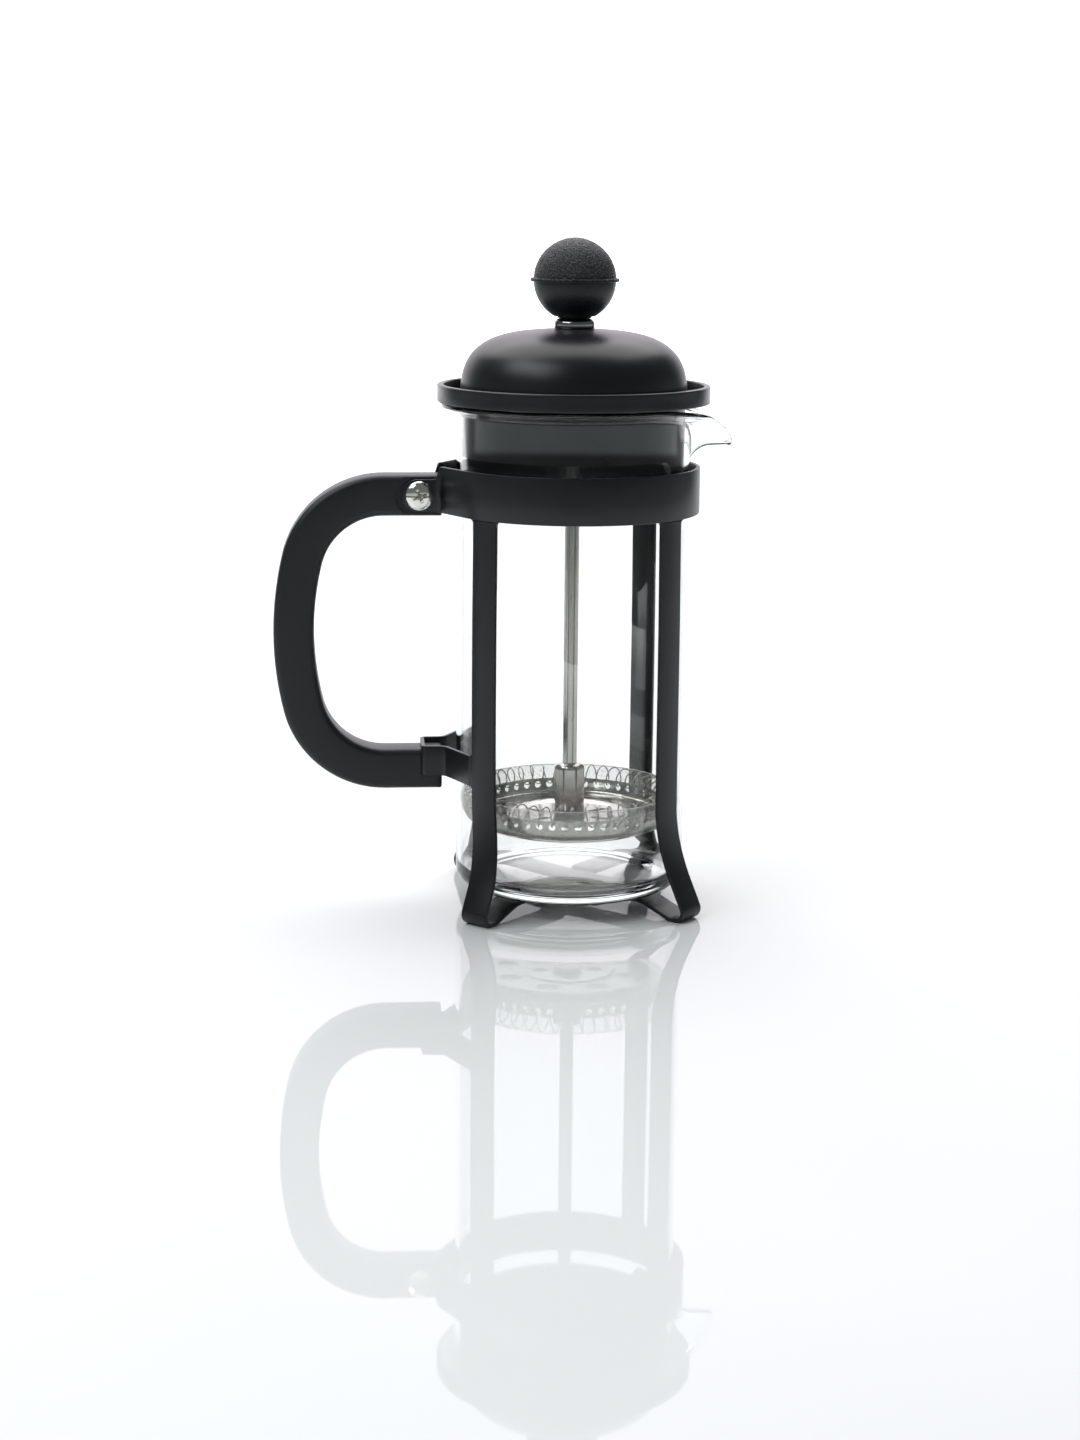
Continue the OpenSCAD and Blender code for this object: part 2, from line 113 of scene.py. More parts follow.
def spline(pts, per=6):
    """Catmull-Rom through 2D or 3D points."""
    P = np.array(pts, float)
    P = np.vstack([2 * P[0] - P[1], P, 2 * P[-1] - P[-2]])
    out = []
    for i in range(1, len(P) - 2):
        for k in range(per):
            t = k / per
            a, b, c, d = P[i - 1], P[i], P[i + 1], P[i + 2]
            out.append(0.5 * ((2 * b) + (c - a) * t + (2 * a - 5 * b + 4 * c - d) * t * t + (3 * b - a - 3 * c + d) * t ** 3))
    out.append(P[-2])
    return [tuple(q) for q in out]


def lathe_data(profile, n=160, base=0):
    """A closed (r, z) loop turned round the axis."""
    verts, faces, rows = [], [], []
    for r, z in profile:
        if r < 1e-4:
            rows.append([base + len(verts)] * n)
            verts.append((0, 0, z))
        else:
            rows.append([base + len(verts) + k for k in range(n)])
            for k in range(n):
                a = 2 * PI * k / n
                verts.append((r * math.cos(a), r * math.sin(a), z))
    m = len(profile)
    for i in range(m):
        A, B = rows[i], rows[(i + 1) % m]
        pa, pb = profile[i][0] < 1e-4, profile[(i + 1) % m][0] < 1e-4
        if pa and pb:
            continue
        for k in range(n):
            l = (k + 1) % n
            if pa:
                faces.append((A[0], B[k], B[l]))
            elif pb:
                faces.append((A[k], B[0], A[l]))
            else:
                faces.append((A[k], B[k], B[l], A[l]))
    return verts, faces


def lathe(name, profile, body, nodes=(), mat=None, n=160, sharp=32.0):
    v, f = lathe_data(profile, n)
    return finish_mesh(name, v, f, body, nodes, mat, sharp)


def rounded_rect(w, h, r, steps=3):
    """Outline of a w by h rectangle with rounded corners, counter-clockwise."""
    out = []
    for sx, sy, a0 in ((1, 1, 0), (-1, 1, 90), (-1, -1, 180), (1, -1, 270)):
        for k in range(steps + 1):
            a = math.radians(a0 + 90 * k / steps)
            out.append((sx * (w / 2 - r) + r * math.cos(a), sy * (h / 2 - r) + r * math.sin(a)))
    return out


def loft(rings, closed=False):
    """Quads between equal rings, with the ends capped unless closed."""
    n = len(rings[0])
    verts = [tuple(p) for r in rings for p in r]
    faces = []
    m = len(rings)
    for i in range(m if closed else m - 1):
        a, b = i * n, ((i + 1) % m) * n
        for k in range(n):
            l = (k + 1) % n
            faces.append((a + k, a + l, b + l, b + k))
    if not closed:
        faces.append(tuple(range(n))[::-1])
        faces.append(tuple(range((m - 1) * n, m * n)))
    return verts, faces


def tube(path, r, sides=8, closed=False):
    """Round wire along 3D points (parallel-transported frame)."""
    P = np.array(path, float)
    m = len(P)
    if closed:
        T = np.roll(P, -1, 0) - np.roll(P, 1, 0)
    else:
        T = np.gradient(P, axis=0)
    T /= np.linalg.norm(T, axis=1)[:, None]
    u = np.cross(T[0], (0.3, 0.2, 0.93))
    u /= np.linalg.norm(u)
    U = [u]
    for i in range(1, m):
        u = U[-1] - T[i] * (U[-1] @ T[i])
        U.append(u / np.linalg.norm(u))
    U = np.array(U)
    if closed:  # spread the twist left over at the join
        V0 = np.cross(T[0], U[0])
        u = U[-1] - T[0] * (U[-1] @ T[0])
        tw = math.atan2(u @ V0, u @ U[0])
        for i in range(m):
            a = -tw * i / m
            U[i] = U[i] * math.cos(a) + np.cross(T[i], U[i]) * math.sin(a)
    V = np.cross(T, U)
    rings = []
    for i in range(m):
        rings.append([P[i] + r * (U[i] * math.cos(2 * PI * k / sides) + V[i] * math.sin(2 * PI * k / sides)) for k in range(sides)])
    return loft(rings, closed)


def merge(parts):
    verts, faces = [], []
    for v, f in parts:
        o = len(verts)
        verts += list(v)
        faces += [tuple(i + o for i in q) for q in f]
    return verts, faces


def cutter(name, verts, faces):
    me = bpy.data.meshes.new(name)
    me.from_pydata([(v[0] * MM, v[1] * MM, v[2] * MM) for v in verts], [], faces)
    bm = bmesh.new()
    bm.from_mesh(me)
    bmesh.ops.recalc_face_normals(bm, faces=bm.faces)
    bm.to_mesh(me)
    bm.free()
    ob = bpy.data.objects.new(name, me)
    bpy.context.scene.collection.objects.link(ob)
    return ob


def cut(ob, cutters, sharp=32.0, op="DIFFERENCE"):
    """Exact booleans, applied, with the cutters removed afterwards."""
    for c in cutters:
        md = ob.modifiers.new("cut", "BOOLEAN")
        md.operation = op
        md.solver = "EXACT"
        md.object = c
    dg = bpy.context.evaluated_depsgraph_get()
    me = bpy.data.meshes.new_from_object(ob.evaluated_get(dg))
    ob.modifiers.clear()
    old = ob.data
    name = old.name
    ob.data = me
    bpy.data.meshes.remove(old)
    me.name = name
    for c in cutters:
        d = c.data
        bpy.data.objects.remove(c)
        bpy.data.meshes.remove(d)
    bm = bmesh.new()
    bm.from_mesh(me)
    bmesh.ops.remove_doubles(bm, verts=bm.verts, dist=2e-7)
    bmesh.ops.dissolve_degenerate(bm, edges=bm.edges, dist=1e-7)
    bm.to_mesh(me)
    bm.free()
    me.shade_smooth()
    me.set_sharp_from_angle(angle=math.radians(sharp))


def box_data(x0, x1, y0, y1, z0, z1):
    v = [(x, y, z) for x in (x0, x1) for y in (y0, y1) for z in (z0, z1)]
    return v, [(0, 1, 3, 2), (4, 6, 7, 5), (0, 4, 5, 1), (2, 3, 7, 6), (0, 2, 6, 4), (1, 5, 7, 3)]


def place(data, mat):
    v, f = data
    return [tuple(mat @ Vector(p)) for p in v], f


# --------------------------------------------------------------------------- materials
def new_mat(name, base, rough=0.5, metal=0.0, ior=1.5, spec=0.5):
    m = bpy.data.materials.new(name)
    m.use_nodes = True
    nt = m.node_tree
    b = nt.nodes["Principled BSDF"]
    b.inputs["Base Color"].default_value = (*base, 1)
    b.inputs["Roughness"].default_value = rough
    b.inputs["Metallic"].default_value = metal
    b.inputs["IOR"].default_value = ior
    b.inputs["Specular IOR Level"].default_value = spec
    return m, nt, b


def coords(nt, scale=(1, 1, 1)):
    tc = nt.nodes.new("ShaderNodeTexCoord")
    mp = nt.nodes.new("ShaderNodeMapping")
    mp.inputs["Scale"].default_value = scale
    nt.links.new(tc.outputs["Object"], mp.inputs["Vector"])
    return mp.outputs["Vector"]


def noise(nt, vec, scale, detail=4, rough=0.5, distort=0.0):
    n = nt.nodes.new("ShaderNodeTexNoise")
    n.inputs["Scale"].default_value = scale
    n.inputs["Detail"].default_value = detail
    n.inputs["Roughness"].default_value = rough
    n.inputs["Distortion"].default_value = distort
    nt.links.new(vec, n.inputs["Vector"])
    return n.outputs["Fac"]


def ramp(nt, fac, stops):
    r = nt.nodes.new("ShaderNodeValToRGB")
    e = r.color_ramp.elements
    while len(e) < len(stops):
        e.new(0.5)
    for el, (p, c) in zip(e, stops):
        el.position = p
        el.color = (c, c, c, 1) if not hasattr(c, "__len__") else (*c, 1)
    nt.links.new(fac, r.inputs["Fac"])
    return r.outputs["Color"]


def remap(nt, fac, lo, hi, a=0.0, b=1.0):
    r = nt.nodes.new("ShaderNodeMapRange")
    r.inputs["From Min"].default_value = a
    r.inputs["From Max"].default_value = b
    r.inputs["To Min"].default_value = lo
    r.inputs["To Max"].default_value = hi
    nt.links.new(fac, r.inputs["Value"])
    return r.outputs["Result"]


def bump(nt, bsdf, height, strength, distance, prev=None):
    b = nt.nodes.new("ShaderNodeBump")
    b.inputs["Strength"].default_value = strength
    b.inputs["Distance"].default_value = distance
    nt.links.new(height, b.inputs["Height"])
    if prev is not None:
        nt.links.new(prev, b.inputs["Normal"])
    if bsdf is not None:
        nt.links.new(b.outputs["Normal"], bsdf.inputs["Normal"])
    return b.outputs["Normal"]


def mixc(nt, fac, c0, c1):
    m = nt.nodes.new("ShaderNodeMix")
    m.data_type = "RGBA"
    nt.links.new(fac, m.inputs["Factor"])
    for sock, c in ((m.inputs["A"], c0), (m.inputs["B"], c1)):
        if hasattr(c, "is_output"):
            nt.links.new(c, sock)
        else:
            sock.default_value = (*c, 1)
    return m.outputs["Result"]


def black_coating(name, c0, c1, r0, r1, grain=2600, depth=0.000012, broad=40, spec=0.5, wear=None):
    m, nt, b = new_mat(name, c0, (r0 + r1) / 2, spec=spec)
    v = coords(nt)
    patch = noise(nt, v, broad, 3, 0.6)
    fine = noise(nt, v, grain, 3, 0.6)
    nt.links.new(mixc(nt, ramp(nt, patch, [(0.35, 0.0), (0.65, 1.0)]), c0, c1), b.inputs["Base Color"])
    add = nt.nodes.new("ShaderNodeMath")
    add.operation = "MULTIPLY_ADD"
    nt.links.new(fine, add.inputs[0])
    add.inputs[1].default_value = 0.5
    half = nt.nodes.new("ShaderNodeMath")
    half.operation = "MULTIPLY"
    nt.links.new(patch, half.inputs[0])
    half.inputs[1].default_value = 0.5
    nt.links.new(half.outputs[0], add.inputs[2])
    nt.links.new(remap(nt, add.outputs[0], r0, r1, 0.3, 0.7), b.inputs["Roughness"])
    bump(nt, b, fine, 0.35, depth)
    b.inputs["Sheen Weight"].default_value = 0.12
    b.inputs["Sheen Roughness"].default_value = 0.22
    b.inputs["Sheen Tint"].default_value = (0.96, 0.94, 1.0, 1)
    return m


def steel(name, tint, r0, r1, stretch=(900, 900, 30), streak=1.0, depth=0.000006, var=0.12, blotch=60):
    """Stainless steel with fine drawn lines: stretch sets the line direction by its small value."""
    m, nt, b = new_mat(name, tint, (r0 + r1) / 2, metal=1.0)
    v = coords(nt, stretch)
    lines = noise(nt, v, streak, 5, 0.65)
    v2 = coords(nt)
    patch = noise(nt, v2, blotch, 4, 0.6)
    dark = tuple(c * (1 - var) for c in tint)
    nt.links.new(mixc(nt, patch, dark, tint), b.inputs["Base Color"])
    nt.links.new(remap(nt, lines, r0, r1, 0.25, 0.75), b.inputs["Roughness"])
    bump(nt, b, lines, 0.3, depth)
    return m


PAINT = black_coating("frame_black_paint", (0.0028, 0.0034, 0.0050), (0.0044, 0.0052, 0.0070), 0.28, 0.42, grain=3200, depth=0.00001)
HANDLE = black_coating("handle_black_plastic", (0.0042, 0.0045, 0.0060), (0.0064, 0.0067, 0.0084), 0.36, 0.52, grain=3800, depth=0.00002)
DOME = black_coating("dome_black_satin", (0.0030, 0.0032, 0.0042), (0.0046, 0.0049, 0.0060), 0.31, 0.41, grain=5200, depth=0.000006)
INSERT = black_coating("insert_black_plastic", (0.0050, 0.0054, 0.0062), (0.0075, 0.0080, 0.0090), 0.24, 0.36, grain=3800, depth=0.000005)
KNOB_LO = black_coating("knob_black_fine", (0.0030, 0.0033, 0.0046), (0.0048, 0.0051, 0.0066), 0.36, 0.50, grain=2600, depth=0.00006)


def knob_coarse():
    m, nt, b = new_mat("knob_black_grain_and_painted_glints", (0.009, 0.009, 0.011), 0.42)
    v = coords(nt)
    vor = nt.nodes.new("ShaderNodeTexVoronoi")
    vor.inputs["Scale"].default_value = 1900
    nt.links.new(v, vor.inputs["Vector"])
    n1 = noise(nt, v, 1500, 5, 0.7)
    # lighter base colour at the edges of the grain cells: painted glints standing in for the grain's sparkle
    nt.links.new(mixc(nt, ramp(nt, vor.outputs["Distance"], [(0.42, 0.0), (0.80, 1.0)]), (0.0030, 0.0032, 0.0044), (0.055, 0.056, 0.062)), b.inputs["Base Color"])
    nt.links.new(remap(nt, n1, 0.34, 0.56, 0.3, 0.7), b.inputs["Roughness"])
    nrm = bump(nt, None, n1, 1.0, 0.00034)
    bump(nt, b, vor.outputs["Distance"], 0.9, 0.00030, nrm)
    return m


KNOB_HI = knob_coarse()
CHROME = steel("ferrule_chrome", (0.33, 0.335, 0.33), 0.06, 0.14, stretch=(400, 400, 900), depth=0.000002, var=0.05, blotch=200)
NICKEL = steel("screw_nickel", (0.86, 0.84, 0.79), 0.08, 0.18, stretch=(700, 700, 700), depth=0.000003, var=0.08, blotch=500)
ROD = steel("rod_drawn_steel", (0.68, 0.655, 0.61), 0.16, 0.28, stretch=(1500, 1500, 24), depth=0.000002, var=0.18, blotch=90)
SLEEVE = steel("sleeve_turned_steel", (0.68, 0.64, 0.605), 0.13, 0.22, stretch=(1100, 1100, 60), depth=0.0000012, var=0.25, blotch=160)
PLATE = steel("plate_pressed_steel", (0.76, 0.74, 0.695), 0.10, 0.22, stretch=(300, 300, 300), depth=0.000004, var=0.16, blotch=120)
WIRE = steel("spring_wire", (0.55, 0.54, 0.51), 0.16, 0.28, stretch=(800, 800, 800), depth=0.000003, var=0.2, blotch=300)
MESHM = steel("mesh_wire", (0.80, 0.79, 0.74), 0.22, 0.36, stretch=(900, 900, 900), depth=0.000002, var=0.2, blotch=250)
NUT = steel("nut_steel", (0.62, 0.61, 0.58), 0.18, 0.32, stretch=(600, 600, 600), depth=0.000004, var=0.12, blotch=300)
BRASS = steel("insert_brass", (0.72, 0.56, 0.27), 0.18, 0.30, stretch=(900, 900, 200), depth=0.000004, var=0.15, blotch=200)


def glass_mat():
    m, nt, b = new_mat("beaker_glass", (0.985, 0.995, 0.99), 0.0, ior=1.47)
    b.inputs["Transmission Weight"].default_value = 1.0
    v = coords(nt)
    wave = noise(nt, v, 26, 2, 0.4)
    smear = noise(nt, coords(nt, (60, 60, 14)), 1.0, 4, 0.6)
    nt.links.new(remap(nt, smear, 0.0, 0.003, 0.55, 0.85), b.inputs["Roughness"])
    bump(nt, b, wave, 0.03, 0.00008)
    vol = nt.nodes.new("ShaderNodeVolumeAbsorption")
    vol.inputs["Color"].default_value = (0.72, 0.93, 0.84, 1)
    vol.inputs["Density"].default_value = 5.0
    nt.links.new(vol.outputs["Volume"], nt.nodes["Material Output"].inputs["Volume"])
    return m


GLASS = glass_mat()

# --------------------------------------------------------------------------- dimensions (mm), as in the CAD
GR, GT, GZ, RIMZ, RIMR = 35.0, 1.2, 5.15, 152.8, 39.8
SP_OUT, SP_DROP, SP_HALF, BEAD, RIM_DIP = 8.3, 11.3, 27.0, 0.85, 3.0
BR, ST, BZ0, BZ1, LW, FLARE_Z = 38.3, 1.2, 120.2, 134.0, 9.2, 34.0
HX, HZ0, HZ1, HW, HT, HC = 90.3, 35.6, 131.3, 12.2, 12.0, 31.5
SCX, SCZ = 46.4, 125.4
FZ = RIMZ + 0.1
TAB_Y = HT / 2 - 0.7 + 0.03
CX = 40.3
KZ, KR = 188.9, 12.3
TURNS = 48


# --------------------------------------------------------------------------- beaker
def bump_f(a):
    a = abs(a)
    return 0.0 if a >= SP_HALF else (0.5 + 0.5 * math.cos(PI * a / SP_HALF)) ** 1.15


def glass_loop(a):
    """Closed outline of the wall at angle a in degrees: base centre, up the outside, over the rim, down inside."""
    bp = bump_f(a)
    reach = RIMR + SP_OUT * bp
    base_x = RIMR * math.cos(math.radians(SP_HALF))
    # the rim dips in a wide sweep towards the spout, then steeply to its tip
    drop = RIM_DIP * (0.5 + 0.5 * math.cos(PI * min(abs(a), 62.0) / 62.0))
    if bp > 0:
        u = (reach * math.cos(math.radians(a)) - base_x) / (RIMR + SP_OUT - base_x)
        drop += (SP_DROP - RIM_DIP) * (1 - max(0.0, 1 - u * u) ** 0.62)
    rm, zm = reach - BEAD, RIMZ - BEAD - drop
    w, f, g, h = GR - GT / 2, 1.4 + 6.1 * bp, math.radians(24 - 22 * bp), GT / 2
    cx = w + f
    cz = zm - (rm - w - f * (1 - math.sin(g))) * math.tan(g) - f * math.cos(g)
    mid = []
    NA, NL = 12, 6
    for k in range(NA + 1):
        b = PI - (PI / 2 - g) * k / NA
        mid.append((cx + f * math.cos(b), cz + f * math.sin(b)))
    x1, z1 = mid[-1]
    for k in range(1, NL + 1):
        mid.append((x1 + (rm - x1) * k / NL, z1 + (zm - z1) * k / NL))
    M = np.array(mid)
    T = np.gradient(M, axis=0)
    T[0] = (0, 1)
    T /= np.linalg.norm(T, axis=1)[:, None]
    N = np.c_[T[:, 1], -T[:, 0]]
    # the wall keeps one thickness up to the bead
    th = np.full(len(M), h)
    out = [(0.0, GZ + 1.5), (6, GZ + 1.45), (13, GZ + 1.2), (20, GZ + 0.8), (25.5, GZ + 0.35), (28.0, GZ + 0.05), (29.2, GZ)]
    for k in range(1, 9):
        b = math.radians(-84 + 84 * k / 8)
        out.append((GR - 5 + 5 * math.cos(b), GZ + 5 + 5 * math.sin(b)))
    top = M[0][1]
    for z in (22, 40, 60, 80, 100, 118, 128, 128 + (top - 128) * 0.6, top - 0.35):
        out.append((GR, z))
    out += [tuple(M[i] + N[i] * th[i]) for i in range(len(M) - 1)]
    tang = math.atan2(T[-1][1], T[-1][0])
    for k in range(11):
        b = tang - math.radians(118) + math.radians(236) * k / 10
        out.append((M[-1][0] + BEAD * math.cos(b), M[-1][1] + BEAD * math.sin(b)))
    out += [tuple(M[i] - N[i] * th[i]) for i in range(len(M) - 2, -1, -1)]
    for z in (top - 0.35, 128 + (top - 128) * 0.6, 128, 118, 100, 80, 60, 40, 22):
        out.append((GR - GT, z))
    for k in range(9):
        b = math.radians(-88 * k / 8)
        out.append((GR - GT - 4.4 + 4.4 * math.cos(b), GZ + 7.6 + 4.4 * math.sin(b)))
    out += [(24, GZ + 3.25), (18, GZ + 3.6), (10, GZ + 4.0), (4, GZ + 4.15), (0.0, GZ + 4.2)]
    return out


def build_beaker():
    # finer steps across the spout
    ang = []
    a = -180.0
    while a < 180 - 1e-6:
        ang.append(a)
        a += 0.75 if -34 <= a < 34 else 1.25 if abs(a) < 60 else 2.0
    rows = [glass_loop(a) for a in ang]
    m, n = len(rows[0]), len(ang)
    verts, faces = [], []
    for a, row in zip(ang, rows):
        ca, sa = math.cos(math.radians(a)), math.sin(math.radians(a))
        for r, z in row[1:-1]:
            verts.append((r * ca, r * sa, z))
    w = m - 2
    verts += [(0, 0, rows[0][0][1]), (0, 0, rows[0][-1][1])]
    lo, hi = n * w, n * w + 1
    for k in range(n):
        l = (k + 1) % n
        for i in range(w - 1):
            faces.append((k * w + i, k * w + i + 1, l * w + i + 1, l * w + i))
        faces.append((lo, k * w, l * w))
        faces.append((hi, l * w + w - 1, k * w + w - 1))
    return finish_mesh("glass_beaker", verts, faces, "beaker", ["beaker"], GLASS, sharp=None)


build_beaker()


# --------------------------------------------------------------------------- frame
def sweep_strip(path, width, thick, azimuths, edge=0.22, curve=None, widths=None):
    """A flat strip along a path of (R, z) middle points, each at its own azimuth."""
    P = np.array(path, float)
    T = np.gradient(P, axis=0)
    T /= np.linalg.norm(T, axis=1)[:, None]
    N = np.c_[T[:, 1], -T[:, 0]]
    rings = []
    for i in range(len(P)):
        ca, sa = math.cos(azimuths[i]), math.sin(azimuths[i])
        wd = widths[i] if widths is not None else width
        sec = rounded_rect(thick, wd, edge, 2)
        # bend the section across its width so the strip can follow the collar's curve
        ring = []
        for a, b in sec:
            bend = curve[i] * b * b if curve is not None else 0.0
            q = P[i] + N[i] * (a - bend)
            ring.append((q[0] * ca - b * sa, q[0] * sa + b * ca, q[1]))
        rings.append(ring)
    return loft(rings)


FR, TA, TR = 52.0, math.radians(26), 3.2
fe = (BR + FR * (1 - math.cos(TA)), FLARE_Z - FR * math.sin(TA))
ttz = TR * (1 + math.sin(TA))
TCX = fe[0] + (fe[1] - ttz) * math.tan(TA) - TR * math.cos(TA)
RISE, PAD = math.radians(20), 1.6
rx, rz = TCX - PAD - TR * math.sin(RISE), TR * (1 - math.cos(RISE))


def leg_outer(drop):
    """Outer face of half a strap, from the centre out and up to the collar."""
    p = [(0.0, 3.9 - drop), (6.4, 3.9 - drop), (9.2, 3.9)] if drop else [(0.0, 3.9), (9.0, 3.9)]
    flat_x = rx - (3.9 - rz) / math.tan(RISE)
    p += [(flat_x - 6, 3.9), (flat_x, 3.9), (rx, rz)]
    p = fillet(p, [0, 3, 3, 0, 9, 0] if drop else [0, 0, 0, 9, 0], 5, closed=False)
    for k in range(1, 5):
        a = -PI / 2 - RISE + RISE * k / 4
        p.append((TCX - PAD + TR * math.cos(a), TR + TR * math.sin(a)))
    for k in range(0, 15):
        a = -PI / 2 + (PI / 2 + TA) * k / 14
        p.append((TCX + TR * math.cos(a), TR + TR * math.sin(a)))
    for i in range(0, 13):
        a = TA * (1 - i / 12)
        p.append((BR + FR * (1 - math.cos(a)), FLARE_Z - FR * math.sin(a)))
    for z in (50, 70, 90, 105, 112, 116, 118, 118.8, 119.2, 119.5, 119.8, 120.0, BZ0):
        p.append((BR, z))
    return p


def offset_in(p, d):
    P = np.array(p, float)
    T = np.gradient(P, axis=0)
    T /= np.linalg.norm(T, axis=1)[:, None]
    N = np.c_[T[:, 1], -T[:, 0]]
    return P - N * d


def strap(name, node, angles, drop):
    halves = []
    for az, foot in angles:
        o = leg_outer(drop)
        keep = [o[0]]
        for q in o[1:]:
            if math.dist(q, keep[-1]) > 0.05:
                keep.append(q)
        mid = offset_in(keep, ST / 2)
        widths, curve, turn = [], [], []
        for q in mid:
            t = max(0.0, min(1.0, (q[1] - 6) / 32)) if q[0] > 33 else 0.0
            turn.append(math.radians(foot + (az - foot) * t * t * (3 - 2 * t)))
            d = BZ0 - q[1]
            on_leg = q[0] > 33
            w = LW
            if on_leg and d < 1.2:  # the stamped fillet into the collar
                w += 2 * (1.2 - math.sqrt(max(0.0, 1.2 ** 2 - (1.2 - max(d, 0)) ** 2)))
            widths.append(w)
            t = max(0.0, min(1.0, (q[1] - 80) / 38)) if on_leg else 0.0
            curve.append(t * t * (3 - 2 * t) / (2 * BR))
        halves.append(sweep_strip([tuple(q) for q in mid], LW, ST, turn, widths=widths, curve=curve))
    # join the halves at the centre: drop both caps there and weld
    (v1, f1), (v2, f2) = halves
    f1 = [f for f in f1 if not (len(f) > 4 and min(f) == 0)]
    f2 = [f for f in f2 if not (len(f) > 4 and min(f) == 0)]
    v, f = merge([(v1, f1), (v2, f2)])
    n = len(rounded_rect(1, 1, 0.1, 2))
    # the halves look away from each other, so their first rings meet point for mirrored point
    for k in range(n):
        p, q = v[k], v[len(v1) + n - 1 - k]
        v[k] = tuple((p[i] + q[i]) / 2 for i in range(3))
    f = [tuple(n - 1 - (i - len(v1)) if len(v1) <= i < len(v1) + n else i for i in q) for q in f]
    return finish_mesh(name, v, f, "frame", [node], PAINT, sharp=40)


LEG_FL, LEG_BR, LEG_FR, LEG_BL = 222.0, 45.9, -45.0, 132.3
strap("leg_strap_a", "leg_strap_lower", ((LEG_FL, 228.0), (LEG_BR, 48.6)), 1.2)
strap("leg_strap_b", "leg_strap_upper", ((LEG_FR, -43.0), (LEG_BL, 130.7)), 0.0)

lathe("strap_cross_rivet", fillet([(0, 1.5), (2.3, 1.5), (3.2, 2.05), (3.2, 2.69), (1.8, 2.69), (1.8, 5.06), (0, 5.06)],
                                  [0, 0.5, 0.3, 0.1, 0.05, 0.2, 0], 3), "frame", ["strap_rivet"], PAINT, n=48)


def plan_path():
    """Outer face of the collar in plan, from one tab end round to the other, and the height limits along it."""
    cd = math.hypot(CX, TAB_Y + ST)
    ta = PI - math.atan2(TAB_Y + ST, CX) - math.acos(BR / cd)
    end = SCX + 0.6 + 4.8
    yy = TAB_Y + ST
    half = []
    m = 150
    for k in range(m // 2 + 1):
        a = ta * k / (m // 2)
        half.append((BR * math.cos(a), BR * math.sin(a)))
    tx, ty = half[-1]
    corner = (-CX, yy)
    seg = [(tx + (corner[0] - tx) * t, ty + (corner[1] - ty) * t) for t in (0.15, 0.35, 0.55, 0.75, 0.86)]
    # rounded bend at the corner
    p = np.array(corner)
    u = np.array((tx - corner[0], ty - corner[1]))
    u /= np.linalg.norm(u)
    v = np.array((-1.0, 0.0))
    R = 1.5
    ang = math.acos(float(u @ v))
    d = R / math.tan(ang / 2)
    c = p + (u + v) / np.linalg.norm(u + v) * (R / math.sin(ang / 2))
    s, e = p + u * d, p + v * d
    a0, a1 = math.atan2(*(s - c)[::-1]), math.atan2(*(e - c)[::-1])
    da = (a1 - a0 + PI) % (2 * PI) - PI
    arc = [(c[0] + R * math.cos(a0 + da * k / 6), c[1] + R * math.sin(a0 + da * k / 6)) for k in range(7)]
    tab = [(x, yy) for x in np.linspace(e[0] - 0.4, -SCX - 0.6, 6)]
    tip = [(-SCX - 0.6 - 4.8 * math.sin(math.radians(t)), yy) for t in (8, 18, 28, 38, 48, 57, 65, 72, 78, 83, 87, 89)]
    half += seg + arc + tab + tip
    return half, e[0]


def build_collar():
    half, xe = plan_path()
    pts = [(x, -y) for x, y in half[::-1]][:-1] + half
    P = np.array(pts)
    T = np.gradient(P, axis=0)
    T /= np.linalg.norm(T, axis=1)[:, None]
    N = np.c_[T[:, 1], -T[:, 0]]          # outward
    rings = []
    for i, (x, y) in enumerate(pts):
        z0, z1 = BZ0, BZ1
        if x < xe + 0.9:
            # the band steps down to the height of the tab
            t = max(0.0, min(1.0, (xe + 0.9 - x) / 1.5))
            t = t * t * (3 - 2 * t)
            z0 = BZ0 + (SCZ - 4.8 - BZ0) * t
            z1 = BZ1 + (SCZ + 4.8 - BZ1) * t
        if x < -SCX - 0.6:
            h = math.sqrt(max(0.0, 4.8 ** 2 - (x + SCX + 0.6) ** 2))
            z0, z1 = SCZ - max(h, 0.08), SCZ + max(h, 0.08)
        hgt = z1 - z0
        er = min(0.24, hgt * 0.35)
        sec = rounded_rect(ST, hgt, er, 2)
        zc = (z0 + z1) / 2
        ring = []
        for a, b in sec:
            q = P[i] + N[i] * (a - ST / 2)
            ring.append((q[0], q[1], zc + b))
        rings.append(ring)
    v, f = loft(rings)
    return finish_mesh("collar_band", v, f, "frame", ["collar"], PAINT, sharp=40)


build_collar()


def leg_pt(a, r, side):
    a = math.radians(a)
    return (r * math.cos(a) - side * math.sin(a), r * math.sin(a) + side * math.cos(a))


